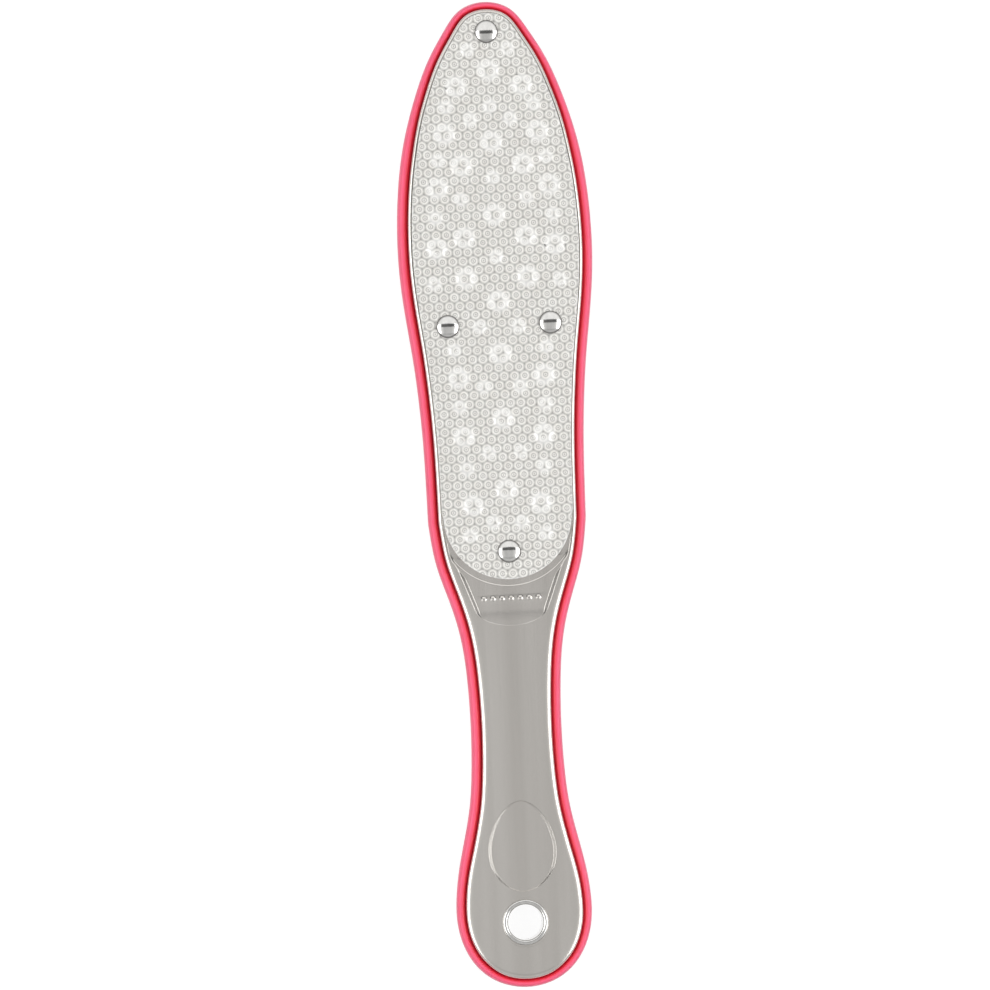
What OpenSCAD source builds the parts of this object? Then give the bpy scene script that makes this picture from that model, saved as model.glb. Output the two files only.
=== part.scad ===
// Double-sided foot file: two stamped steel pans on a moulded core, closed by a soft rim,
// with an abrasive plate riveted to each side and an eyelet to hang it by.
// X is across, Y runs from the butt to the tip, Z is the thickness. It lies on the rivet heads
// of its fine side, with the origin under the middle of its bounding box.

/* [Outline] */
// Length from the tip to the butt end
file_len = 260; // [240:1:300]
// Width over the rim at the widest place of the head
head_w = 51.4; // [46:0.1:60]
// Distance from the tip to the widest place of the head
head_at = 63.3; // [55:0.1:75]
// Width over the rim along the straight lower part of the head
palm_w = 41.8; // [38:0.1:48]
// Length of the handle, from the end of the straight lower part of the head to the butt end
handle_len = 125.5; // [118:0.1:140]
// Width over the rim at the narrowest place of the handle
waist_w = 24; // [21:0.1:30]
// Distance from the butt end to the narrowest place of the handle
waist_up = 70.1; // [62:0.1:78]
// Width over the rim at the butt
butt_w = 35.7; // [33:0.1:42]
// Distance from the butt end to the widest place of the butt
butt_up = 22.7; // [20:0.1:26]

/* [Steel pans] */
// Height of a pan's face above the middle plane
face_h = 3.5; // [3.2:0.05:5]
// Thickness of the sheet steel
sheet_t = 0.5; // [0.3:0.05:0.6]
// Radius of the bend between a pan's wall and its face
shoulder_r = 1.1; // [0.8:0.05:1.15]
// Height of the lower edge of a pan's wall above the middle plane
lip_h = 0.85; // [0.8:0.05:1.2]

/* [Soft rim] */
// Width of the rim outside the pans
rim_w = 2.75; // [2.2:0.05:3.5]
// Height of the rim's crown above the middle plane
rim_h = 2.4; // [2.1:0.05:3]
// Height of the rim where it meets a pan's wall
rim_root_h = 1.75; // [1.4:0.05:2]
// Distance that the core's flange reaches into the rim
flange_grip = 1.3; // [0.8:0.05:1.6]

/* [Abrasive plates] */
// Thickness of an abrasive plate
plate_t = 0.5; // [0.4:0.05:0.7]
// Depth of the seat that a plate lies in
seat_depth = 0.35; // [0.2:0.05:0.45]
// Width of the pan's border beside a plate
plate_border = 1.25; // [1:0.05:2]
// Width of the bare seat below a plate's round end
seat_tail = 1.95; // [1.2:0.05:2.5]
// Distance from the end of the straight lower part of the head to the round ends' middle
round_end_down = 0.9; // [0:0.05:2]
// Radius of a large boss on the coarse plate
big_boss_r = 3; // [2.4:0.05:3.4]
// Height of a large boss on the coarse plate
big_boss_h = 0.75; // [0.3:0.05:0.9]
// Radius of a small boss on the coarse plate
small_boss_r = 2; // [1.5:0.05:2.4]
// Height of a small boss on the coarse plate
small_boss_h = 0.5; // [0.2:0.05:0.6]

/* [Rivets] */
// Distance from the tip to the first rivet
tip_rivet_at = 7.95; // [7.5:0.05:10]
// Distance from the tip to the pair of rivets
pair_rivet_at = 85.15; // [75:0.05:95]
// Distance of each rivet of the pair from the widest line of the head
pair_in = 12.15; // [10:0.05:16]
// Distance from the end of the straight lower part of the head to the last rivet
heel_rivet_down = 10.45; // [2:0.05:12]
// Radius of a rivet's head
head_r = 2.95; // [2.4:0.05:3.2]
// Height of a rivet's domed head
dome_h = 1.15; // [0.95:0.05:1.5]
// Thickness of the rim of a rivet's head
head_edge = 0.2; // [0.1:0.05:0.3]
// Radius of the hollow half of a rivet
post_r = 1.5; // [1.3:0.05:1.8]
// Radius of the solid half of a rivet
pin_r = 0.9; // [0.6:0.05:1]

/* [Hanging hole] */
// Distance from the butt end to the middle of the hanging hole
hang_up = 17.2; // [16:0.1:19]
// Radius of the clear hole
hang_r = 4.65; // [3.8:0.05:5]
// Wall of the eyelet's barrel
eyelet_t = 0.4; // [0.3:0.05:0.6]
// Width of the eyelet's rolled edge, from the clear hole outwards
roll_w = 1.45; // [1.2:0.05:1.8]

/* [Label panel and thumb rest] */
// Width of the label panel at its top
label_top_w = 28; // [24:0.1:29]
// Width of the label panel at its lower corners
label_low_w = 18.2; // [15:0.1:19]
// Distance from the end of the straight lower part of the head to the panel's lower end
label_down = 30.1; // [27:0.1:33]
// Radius of the label panel's lower edge
label_arc_r = 16.5; // [14:0.1:22]
// Depth of the label panel
label_depth = 0.2; // [0.1:0.05:0.25]
// Least width of the pan's flat face beside the label panel
label_margin = 0.8; // [0.4:0.05:2]
// Length of the row of pips in the label panel
pip_row_w = 14.5; // [10:0.1:16]
// Radius of a pip on the coarse side
coarse_pip_r = 1; // [0.5:0.05:1.05]
// Distance between the middles of the pips on the coarse side
coarse_pip_pitch = 2.4; // [2.2:0.1:3]
// Radius of a pip on the fine side
fine_pip_r = 0.42; // [0.3:0.02:0.5]
// Distance between the middles of the pips on the fine side
fine_pip_pitch = 1.1; // [1.05:0.05:1.5]
// Distance from the panel's lower end to the middle of the pips
pip_up = 7.2; // [6:0.1:8]
// Length of the thumb rest
thumb_len = 24; // [20:0.1:25]
// Width of the thumb rest
thumb_w = 18; // [15:0.1:18.5]
// Distance from the butt end to the lower end of the thumb rest
thumb_up = 25.3; // [25.2:0.1:28]
// Depth of the thumb rest
thumb_depth = 0.45; // [0.2:0.05:0.5]
// Width of the sloped wall around the thumb rest
thumb_slope = 0.9; // [0.4:0.05:1.2]

/* [Core] */
// Half the thickness of the core's web and flange
web_h = 0.7; // [0.5:0.05:0.75]
// Distance from the pans' edge to the rib that carries their faces
rib_in = 1.6; // [1.5:0.05:2]
// Thickness of the core's ribs
rib_t = 1.1; // [0.8:0.05:1.3]
// Wall of the core's bosses around the rivets and the eyelet
boss_wall = 2; // [1.4:0.05:2.1]
// Distance between the cross ribs under the plates
cross_pitch = 19.5; // [15:0.5:30]

/* [Fits] */
// Gap between pieces that lie beside each other
fit_gap = 0.05; // [0.03:0.01:0.08]
// Gap around the rivets and the eyelet in the holes they go through
hole_gap = 0.1; // [0.05:0.01:0.15]

/* [Hidden] */
rivet_names = ["tip", "left", "right", "heel"];
$fn = 64;

// How far cuts run past the faces they open
overrun = 1;
// Points that the smooth curves add from one given point to the next, and the steps of their fit
curve_steps = 2;
fit_steps = 30;
// Flats in the bends of the pans and of the rim
bend_steps = 5;
// Sides of the domes
dome_sides = 96;
// How far a panel's floor reaches under the sheet around it, as a share of the sheet
underlap_share = 0.8;

// Distance from the tip to the end of the straight lower part of the head, and places below it
palm_at = file_len - handle_len;
heel_rivet_at = palm_at + heel_rivet_down;
label_end_at = palm_at + label_down;
pip_at = label_end_at - pip_up;
pair_gap = head_w - 2 * pair_in;

// Levels above the middle plane
face_in_h = face_h - sheet_t;
seat_h = face_h - seat_depth;
plate_top_h = seat_h + plate_t;
seat_rib_h = seat_h - sheet_t - fit_gap;
face_rib_h = face_in_h - fit_gap;
rest_h = plate_top_h + dome_h;

// Insets from the rim's outer edge
plate_in = rim_w + plate_border;
seat_in = plate_in - hole_gap;
rib_out = rim_w + rib_in + sheet_t;
plate_end_r = palm_w / 2 - plate_in;
seat_end_r = plate_end_r + seat_tail;

// Radii of the holes that the rivets and the eyelet go through, and of the bosses around them
post_hole_r = post_r + hole_gap;
barrel_r = hang_r + eyelet_t;
barrel_hole_r = barrel_r + hole_gap;

// Y of a place given from the tip, or from the butt end
function from_tip(distance) = file_len / 2 - distance;
function from_butt(distance) = distance - file_len / 2;

end_arc_y = from_tip(palm_at + round_end_down);
rivet_places = [
    [0, from_tip(tip_rivet_at)],
    [-pair_gap / 2, from_tip(pair_rivet_at)],
    [pair_gap / 2, from_tip(pair_rivet_at)],
    [0, from_tip(heel_rivet_at)],
];

// Points of the outline's right half in four stretches. Each pair is a share of the stretch's
// length and a share of the change in half-width along it.
nose_shares = [[0.033, 0.264], [0.125, 0.4435], [0.25, 0.62], [0.438, 0.797], [0.687, 0.943], [1, 1]];
palm_shares = [[0.235, 0.208], [0.444, 0.604], [0.656, 0.867], [0.83, 0.965], [1, 1]];
neck_shares = [[0.07, 0.022], [0.214, 0.153], [0.357, 0.408], [0.5, 0.686], [0.643, 0.867],
    [0.803, 0.961], [1, 1]];
grip_shares = [[0.23, 0.039], [0.445, 0.186], [0.635, 0.49], [0.816, 0.815], [1, 1]];
butt_shares = [[0.348, 0.031], [0.674, 0.205], [0.912, 0.54], [1, 1]];

// Points of the thumb rest's right half, from its upper to its lower end, as shares of its
// length and of its half-width
thumb_shares = [[0, 0], [0.04, 0.32], [0.135, 0.585], [0.25, 0.785], [0.38, 0.925], [0.515, 0.995],
    [0.65, 0.98], [0.78, 0.87], [0.89, 0.65], [0.97, 0.35], [1, 0]];

// Places of the bosses on the right half of the coarse plate and on its middle line, as shares
// of half the head's width and of the length from the tip to the end of the straight part
big_boss_shares = [[0, 0.135], [0.34, 0.165], [0.48, 0.257], [0, 0.275], [0.318, 0.32],
    [0.575, 0.363], [0, 0.418], [0.318, 0.461], [0.605, 0.48], [0.318, 0.541], [0, 0.588],
    [0, 0.69], [0.441, 0.735], [0, 0.818], [0.41, 0.851], [0, 0.957], [0.35, 0.986]];
small_boss_shares = [[0.205, 0.094], [0, 0.206], [0.451, 0.204], [0.205, 0.231], [0.554, 0.308],
    [0, 0.345], [0.338, 0.386], [0.605, 0.421], [0, 0.5], [0.646, 0.549], [0.2, 0.637],
    [0.472, 0.68], [0.185, 0.755], [0.441, 0.792], [0.164, 0.884], [0.395, 0.914],
    [0.144, 1.021], [0.39, 1.045]];

// Smooth closed curve through points, as a uniform cubic spline. Its control points are pulled
// until the curve passes through each point.
function turn(i, count) = (i + count) % count;
function pulled(points, control) = let (n = len(points)) [for (i = [0:n - 1])
    control[i] + points[i] - (control[turn(i - 1, n)] + 4 * control[i] + control[turn(i + 1, n)]) / 6];
function controls(points, control, steps) =
    steps <= 0 ? control : controls(points, pulled(points, control), steps - 1);
function spline(a, b, c, d, t) =
    (pow(1 - t, 3) * a + (3 * pow(t, 3) - 6 * pow(t, 2) + 4) * b
    + (3 * t + 3 * pow(t, 2) - 3 * pow(t, 3) + 1) * c + pow(t, 3) * d) / 6;
function curve_through(points) = let (n = len(points), c = controls(points, points, fit_steps))
    [for (i = [0:n - 1], k = [0:curve_steps - 1])
        spline(c[turn(i - 1, n)], c[i], c[turn(i + 1, n)], c[turn(i + 2, n)], k / curve_steps)];

// The left half that belongs to a right half, back from its last point to its first
function mirrored(half) = [for (i = [len(half) - 2:-1:1]) [-half[i][0], half[i][1]]];

// A loop moved inwards by a distance. The loop runs clockwise as seen from above.
function inset(loop, distance) = let (n = len(loop)) [for (i = [0:n - 1])
    let (way = loop[turn(i + 1, n)] - loop[turn(i - 1, n)])
    loop[i] + distance * [way[1], -way[0]] / norm(way)];

// One stretch of the outline, from a point to a point, as [half-width, distance from the tip]
function stretch(start, end, shares) = [for (s = shares)
    [start[0] + s[1] * (end[0] - start[0]), start[1] + s[0] * (end[1] - start[1])]];

tip_point = [0, 0];
head_point = [head_w / 2, head_at];
palm_point = [palm_w / 2, palm_at];
waist_point = [waist_w / 2, file_len - waist_up];
butt_point = [butt_w / 2, file_len - butt_up];
end_point = [0, file_len];
right_half = [for (p = concat(
    [tip_point],
    stretch(tip_point, head_point, nose_shares),
    stretch(head_point, palm_point, palm_shares),
    stretch(palm_point, waist_point, neck_shares),
    stretch(waist_point, butt_point, grip_shares),
    stretch(butt_point, end_point, butt_shares))) [p[0], from_tip(p[1])]];
outline = curve_through(concat(right_half, mirrored(right_half)));
function ring(distance) = inset(outline, distance);

thumb_half = [for (s = thumb_shares)
    [s[1] * thumb_w / 2, from_butt(thumb_up + thumb_len) - s[0] * thumb_len]];
thumb_loop = curve_through(concat(thumb_half, mirrored(thumb_half)));

// Solid whose loops lie one above the other. Each level is a loop and its height. The loops are
// symmetric, so the floor and the top are closed by strips from the right half to the left half.
module stack(levels) {
    n = len(levels[0][0]);
    last = len(levels) - 1;
    points = [for (level = levels, p = level[0]) [p[0], p[1], level[1]]];
    sides = [for (j = [0:last - 1], i = [0:n - 1])
        [j * n + i, j * n + turn(i + 1, n), (j + 1) * n + turn(i + 1, n), (j + 1) * n + i]];
    strips = concat([[0, 1, n - 1]], [for (i = [1:n / 2 - 2]) [i, i + 1, n - i - 1, n - i]],
        [[n / 2 - 1, n / 2, n / 2 + 1]]);
    top_faces = [for (strip = strips) [for (i = strip) last * n + i]];
    floor_faces = [for (strip = strips) [for (k = [len(strip) - 1:-1:0]) strip[k]]];
    polyhedron(points, concat(sides, floor_faces, top_faces));
}

// Closed band around the outline. Its section is a closed list of insets and heights.
module band(section) {
    n = len(outline);
    m = len(section);
    points = [for (s = section, p = ring(s[0])) [p[0], p[1], s[1]]];
    polyhedron(points, [for (j = [0:m - 1], i = [0:n - 1])
        [j * n + i, turn(j + 1, m) * n + i, turn(j + 1, m) * n + turn(i + 1, n),
            j * n + turn(i + 1, n)]]);
}

// Everything is built around the middle plane and then lifted onto its rivet heads
module lifted() {
    translate([0, 0, rest_h]) children();
}

module on_side(front) {
    lifted() mirror([0, 0, front ? 0 : 1]) children();
}

module slab(low, high) {
    translate([0, 0, low]) linear_extrude(high - low) children();
}

// Flat shape of the head down to a round end of the given radius
module head_shape(distance, end_r) {
    intersection() {
        polygon(ring(distance));
        union() {
            translate([-head_w, end_arc_y]) square([2 * head_w, file_len]);
            translate([0, end_arc_y]) circle(end_r);
        }
    }
}

// Flat shape of the label panel, grown by a distance. Its top lies under the round seat, and it
// keeps its margin from the pan's bend.
module label_shape(grown) {
    top_y = end_arc_y - sqrt(pow(seat_end_r, 2) - pow(label_top_w / 2, 2));
    low_y = from_tip(label_end_at) + label_arc_r
        - sqrt(pow(label_arc_r, 2) - pow(label_low_w / 2, 2));
    lean = (label_top_w - label_low_w) / 2 / (top_y - low_y);
    reach = grown * sqrt(1 + pow(lean, 2));
    side_top = label_top_w / 2 + reach;
    side_low = side_top - lean * (top_y - from_tip(label_end_at) + grown);
    intersection() {
        polygon([[-side_top, top_y], [-label_top_w / 2, end_arc_y],
            [label_top_w / 2, end_arc_y], [side_top, top_y],
            [side_low, from_tip(label_end_at) - grown], [-side_low, from_tip(label_end_at) - grown]]);
        translate([0, from_tip(label_end_at) + label_arc_r]) circle(label_arc_r + grown);
        polygon(ring(rim_w + shoulder_r + label_margin - grown));
    }
}

// The holes that all flat pieces share
module rivet_holes() {
    for (place = rivet_places) translate(place) circle(post_hole_r);
}

module eyelet_hole() {
    translate([0, from_butt(hang_up)]) circle(barrel_hole_r);
}

// Rounded bend from a wall to a face, as insets and heights
function bend(wall_in, top_h, radius) = [for (k = [0:bend_steps])
    let (angle = 90 * k / bend_steps)
    [wall_in + radius * (1 - cos(angle)), top_h - radius * (1 - sin(angle))]];

function pan_levels(wall_in, low_h, top_h, radius) = [
    for (s = concat([[wall_in, low_h]], bend(wall_in, top_h, radius))) [ring(s[0]), s[1]]];

module pan(front) {
    under = sheet_t * underlap_share;
    difference() {
        union() {
            difference() {
                stack(pan_levels(rim_w, lip_h, face_h, shoulder_r));
                stack(pan_levels(rim_w + sheet_t, lip_h - overrun, face_in_h, shoulder_r - sheet_t));
            }
            slab(seat_h - sheet_t, face_in_h + sheet_t / 4) head_shape(seat_in - under, seat_end_r + under);
            slab(face_h - label_depth - sheet_t, face_in_h + sheet_t / 4) label_shape(under);
            slab(face_h - thumb_depth - sheet_t, face_in_h + sheet_t / 4) polygon(inset(thumb_loop, -under));
        }
        slab(seat_h, face_h + overrun) head_shape(seat_in, seat_end_r);
        slab(face_h - label_depth, face_h + overrun) label_shape(0);
        stack([[inset(thumb_loop, thumb_slope), face_h - thumb_depth], [thumb_loop, face_h],
            [inset(thumb_loop, -thumb_slope), face_h + thumb_depth]]);
        slab(0, face_h + overrun) {
            rivet_holes();
            eyelet_hole();
        }
    }
    pips(front);
}

// Raised pips that tell the two sides apart by touch: one row of large ones on the coarse side,
// two rows of small ones on the fine side
module pips(front) {
    radius = front ? coarse_pip_r : fine_pip_r;
    pitch = front ? coarse_pip_pitch : fine_pip_pitch;
    rows = front ? 1 : 2;
    count = floor(pip_row_w / pitch / 2);
    for (row = [0:rows - 1], i = [-count:count])
        translate([i * pitch, from_tip(pip_at) - (row - (rows - 1) / 2) * pitch, face_h - 2 * label_depth])
            cylinder(h = 2 * label_depth, r = radius);
}

module front_shell() {
    color([0.7, 0.69, 0.66]) on_side(true) pan(true);
}

module back_shell() {
    color([0.7, 0.69, 0.66]) on_side(false) pan(false);
}

// Places of the bosses on both halves of the coarse plate, clear of the rivets' heads
function clear_of_rivets(place, radius) =
    min([for (rivet = rivet_places) norm(place - rivet)]) > head_r + radius;
function places(shares, radius) = [for (s = shares, side = s[0] == 0 ? [1] : [-1, 1])
    let (place = [side * s[0] * head_w / 2, from_tip(s[1] * palm_at)])
    if (clear_of_rivets(place, radius)) place];
big_places = places(big_boss_shares, big_boss_r);
small_places = places(small_boss_shares, small_boss_r);

// Spherical cap that stands on a plate
module boss(radius, height) {
    ball_r = (pow(radius, 2) + pow(height, 2)) / (2 * height);
    intersection() {
        translate([0, 0, height - ball_r]) sphere(ball_r, $fn = dome_sides);
        translate([0, 0, -plate_t / 2]) cylinder(h = plate_t + height, r = radius + plate_t / 2);
    }
}

module plate_sheet() {
    slab(seat_h, plate_top_h) difference() {
        head_shape(plate_in, plate_end_r);
        rivet_holes();
    }
}

module coarse_plate() {
    color([0.88, 0.87, 0.85]) on_side(true) {
        plate_sheet();
        for (p = big_places) translate([p[0], p[1], plate_top_h]) boss(big_boss_r, big_boss_h);
        for (p = small_places) translate([p[0], p[1], plate_top_h]) boss(small_boss_r, small_boss_h);
    }
}

module fine_plate() {
    color([0.88, 0.87, 0.85]) on_side(false) plate_sheet();
}

// Flat shape of the core's rib along the edge
module edge_rib() {
    difference() {
        polygon(ring(rib_out));
        polygon(ring(rib_out + rib_t));
    }
}

module below(y) {
    translate([-head_w, y - file_len]) square([2 * head_w, file_len]);
}

// Moulded core: a web whose edge is gripped by the rim, ribs that carry the pans' faces, and
// bosses for the rivets and the eyelet
module core() {
    color([0.25, 0.25, 0.27]) lifted() difference() {
        union() {
            slab(-web_h, web_h) polygon(ring(rim_w - flange_grip));
            slab(-seat_rib_h, seat_rib_h) {
                edge_rib();
                intersection() {
                    polygon(ring(rib_out));
                    for (y = [head_at - 2 * cross_pitch:cross_pitch:palm_at])
                        translate([-head_w / 2, from_tip(y) - rib_t / 2]) square([head_w, rib_t]);
                }
                for (place = rivet_places) translate(place) circle(post_hole_r + boss_wall);
            }
            slab(-face_rib_h, face_rib_h) {
                intersection() {
                    edge_rib();
                    below(from_tip(label_end_at) - boss_wall);
                }
                translate([0, from_butt(hang_up)]) circle(barrel_hole_r + boss_wall);
            }
        }
        slab(-rest_h, rest_h) {
            rivet_holes();
            eyelet_hole();
        }
    }
}

// Soft rim: a rounded bead that grips the core's flange and dips where it meets the pans
module rim() {
    root_in = rim_w - fit_gap;
    slot_in = rim_w - flange_grip - fit_gap;
    slot_h = web_h + fit_gap;
    crown_in = rim_w / 2;
    upper = concat(
        [for (k = [0:bend_steps]) let (angle = 90 * k / bend_steps)
            [crown_in * (1 - cos(angle)), rim_h * sin(angle)]],
        [[(crown_in + 2 * root_in) / 3, rim_h - (rim_h - rim_root_h) / 3], [root_in, rim_root_h],
            [root_in, slot_h], [slot_in, slot_h]]);
    lower = [for (i = [len(upper) - 1:-1:1]) [upper[i][0], -upper[i][1]]];
    color([0.97, 0.36, 0.45]) lifted() band(concat(upper, lower));
}

// Eyelet: a barrel whose edges are rolled over both pans
module hang_eyelet() {
    roll_r = roll_w / 2;
    color([0.78, 0.77, 0.75]) lifted() translate([0, from_butt(hang_up)]) rotate_extrude() {
        translate([hang_r, -face_h]) square([eyelet_t, 2 * face_h]);
        for (side = [0, 1]) mirror([0, side]) intersection() {
            translate([hang_r + roll_r, face_h]) circle(roll_r);
            translate([hang_r, face_h]) square([roll_w, roll_r]);
        }
    }
}

// Domed head with a thin straight edge, standing on the middle plane of its own frame
module rivet_head() {
    cap_h = dome_h - head_edge;
    ball_r = (pow(head_r, 2) + pow(cap_h, 2)) / (2 * cap_h);
    intersection() {
        cylinder(h = dome_h, r = head_r);
        translate([0, 0, dome_h - ball_r]) sphere(ball_r, $fn = dome_sides);
    }
}

// Hollow half of a rivet, with its head on the coarse side
module rivet_post(place) {
    color([0.8, 0.79, 0.78]) on_side(true) translate(place) difference() {
        union() {
            translate([0, 0, plate_top_h]) rivet_head();
            slab(-seat_rib_h, plate_top_h) circle(post_r);
        }
        slab(-rest_h, seat_rib_h) circle(pin_r + fit_gap);
    }
}

// Solid half of a rivet, pressed into the hollow half from the fine side
module rivet_pin(place) {
    color([0.8, 0.79, 0.78]) on_side(false) translate(place) {
        translate([0, 0, plate_top_h]) rivet_head();
        slab(fit_gap - seat_rib_h, plate_top_h) circle(pin_r);
    }
}

coarse_plate();
fine_plate();
front_shell();
back_shell();
core();
rim();
hang_eyelet();
for (i = [0:len(rivet_names) - 1]) {
    rivet_post(rivet_places[i]);
    rivet_pin(rivet_places[i]);
}
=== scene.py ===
"""Visual model of a double-sided foot file.

Two stamped steel pans close on a moulded core. A soft rim runs round them, an abrasive plate is
riveted to each face, and an eyelet in the handle takes a hook. Sizes are in millimetres and become
metres where a mesh is made. Heights are measured from the middle plane towards a face.
"""
import logging
import math
from dataclasses import dataclass
from enum import Enum

import bmesh
import bpy
import numpy as np
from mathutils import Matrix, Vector
from mathutils.geometry import tessellate_polygon


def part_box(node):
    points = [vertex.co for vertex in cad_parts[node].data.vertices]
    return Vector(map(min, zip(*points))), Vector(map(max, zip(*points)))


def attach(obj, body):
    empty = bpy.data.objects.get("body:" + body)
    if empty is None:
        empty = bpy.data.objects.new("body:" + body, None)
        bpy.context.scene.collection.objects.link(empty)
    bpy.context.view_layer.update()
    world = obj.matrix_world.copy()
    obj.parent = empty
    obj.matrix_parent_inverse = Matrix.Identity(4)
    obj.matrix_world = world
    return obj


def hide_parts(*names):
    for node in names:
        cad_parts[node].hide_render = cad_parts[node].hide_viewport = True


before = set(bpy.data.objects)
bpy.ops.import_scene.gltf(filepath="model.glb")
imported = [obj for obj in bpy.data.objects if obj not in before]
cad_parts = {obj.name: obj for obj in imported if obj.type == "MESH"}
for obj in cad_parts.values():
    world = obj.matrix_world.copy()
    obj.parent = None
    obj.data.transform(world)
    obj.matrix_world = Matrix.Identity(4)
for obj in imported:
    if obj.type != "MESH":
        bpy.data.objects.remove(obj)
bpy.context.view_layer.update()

log = logging.getLogger("foot_file")

MM = 0.001

# Points of a curve from one given point to the next, and points of a turned piece's loops
CURVE_STEPS = 24
TURNED_SIDES = 96
# Distance within which a turned piece's points are merged
TURNED_WELD = 0.002
# Angle between faces from which their edge is sharp, in degrees
SHARP_ANGLE = 50.0
# Smallest distance that another one is divided by
TINY = 1e-6
# The part of a noise's range that most of its places lie in
NOISE_LOW = 0.3
NOISE_HIGH = 0.7
# A Mix node's sockets for colours: the two that it takes and the one that it gives
MIX_FIRST = 6
MIX_SECOND = 7
MIX_RESULT = 2


class Side(Enum):
    """The two faces of the file, with the direction that each one looks."""

    COARSE = 1
    FINE = -1


def box_of(node: str) -> np.ndarray:
    """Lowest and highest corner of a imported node, in millimetres.

    Args:
        node: Name of the node.
    Returns:
        Array of two corners.
    """
    return np.array([tuple(corner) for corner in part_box(node)]) / MM


def smooth(share: np.ndarray) -> np.ndarray:
    """Soft step from 0 to 1: the share is held to that range and put through 3s^2 - 2s^3.

    Args:
        share: Place between the start and the end of the step.
    Returns:
        Height of the step at each place.
    """
    held = np.clip(share, 0.0, 1.0)
    return held * held * (3.0 - 2.0 * held)


def curve_through(points: np.ndarray) -> np.ndarray:
    """Smooth closed curve through points, as a uniform cubic spline.

    Each control point solves (the one before + 4 times itself + the one after) / 6 = its point.

    Args:
        points: Points that the curve passes through, in order.
    Returns:
        Points of the curve, with equal steps from one given point to the next.
    """
    unit = np.eye(len(points))
    weights = (4.0 * unit + np.roll(unit, 1, axis=1) + np.roll(unit, -1, axis=1)) / 6.0
    control = np.linalg.solve(weights, points)
    t = np.arange(CURVE_STEPS) / CURVE_STEPS
    basis = np.stack([(1 - t) ** 3, 3 * t**3 - 6 * t**2 + 4, -3 * t**3 + 3 * t**2 + 3 * t + 1, t**3]) / 6
    around = np.stack([np.roll(control, shift, axis=0) for shift in (1, 0, -1, -2)])
    return np.einsum("ks,knc->nsc", basis, around).reshape(-1, 2)


def even_loop(loop: np.ndarray, spacing: float) -> np.ndarray:
    """The same closed loop with its points spread evenly, by length along it.

    Args:
        loop: Points of the loop.
        spacing: Distance between the new points.
    Returns:
        The new points, starting at the first one given.
    """
    closed = np.vstack([loop, loop[:1]])
    along = np.append(0.0, np.cumsum(np.linalg.norm(np.diff(closed, axis=0), axis=1)))
    count = int(round(along[-1] / spacing))
    places = np.arange(count) * along[-1] / count
    return np.stack([np.interp(places, along, closed[:, axis]) for axis in (0, 1)], axis=1)


def softened(loop: np.ndarray, radius: float) -> np.ndarray:
    """A loop of evenly spread points with its corners rounded.

    The points are averaged along the loop by a bell curve: each wave of the loop is weakened by
    exp(-(radius * wave number)^2 / 2).

    Args:
        loop: Points of the loop, evenly spread.
        radius: Width of the bell curve.
    Returns:
        The rounded loop.
    """
    spacing = np.linalg.norm(loop[1] - loop[0])
    waves = 2.0 * math.pi * np.fft.fftfreq(len(loop), spacing)
    weaker = np.exp(-0.5 * (radius * waves) ** 2)
    rounded = np.fft.ifft(np.fft.fft(loop[:, 0] + 1j * loop[:, 1]) * weaker)
    return np.stack([rounded.real, rounded.imag], axis=1)


def inward(loop: np.ndarray) -> np.ndarray:
    """Unit normals that point into a loop that runs clockwise as seen from above."""
    way = np.roll(loop, -1, axis=0) - np.roll(loop, 1, axis=0)
    return np.stack([way[:, 1], -way[:, 0]], axis=1) / np.linalg.norm(way, axis=1)[:, None]


def inset(loop: np.ndarray, distance: float | np.ndarray) -> np.ndarray:
    """A clockwise loop moved inwards along its normals.

    Args:
        loop: Points of the loop.
        distance: One distance, or one for each point.
    Returns:
        The moved points.
    """
    return loop + inward(loop) * np.broadcast_to(distance, len(loop))[:, None]


def depth_inside(points: np.ndarray, loop: np.ndarray) -> tuple[np.ndarray, np.ndarray]:
    """How deep points lie inside a clockwise loop, along the normal at its nearest point.

    Args:
        points: Places as seen from above.
        loop: Points of the loop.
    Returns:
        The depth of each point, below zero outside the loop, and the normal at each one.
    """
    gap = points[:, None, :] - loop[None, :, :]
    nearest = (gap**2).sum(axis=2).argmin(axis=1)
    normal = inward(loop)[nearest]
    return ((points - loop[nearest]) * normal).sum(axis=1), normal


def circle(centre: np.ndarray, radius: float, sides: int) -> np.ndarray:
    """Points of a circle, clockwise from its top."""
    turn = np.arange(sides) * 2.0 * math.pi / sides
    return centre + radius * np.stack([np.sin(turn), np.cos(turn)], axis=1)


def both_halves(right: np.ndarray) -> np.ndarray:
    """A closed loop from its right half, whose first and last points lie on the middle line."""
    left = right[-2:0:-1] * (-1.0, 1.0)
    return np.vstack([right, left])


def at_height(plan: np.ndarray, height: float | np.ndarray) -> np.ndarray:
    """Points of a plan with their heights, which are one for all or one for each."""
    return np.column_stack([plan, np.broadcast_to(height, len(plan))])


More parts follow.
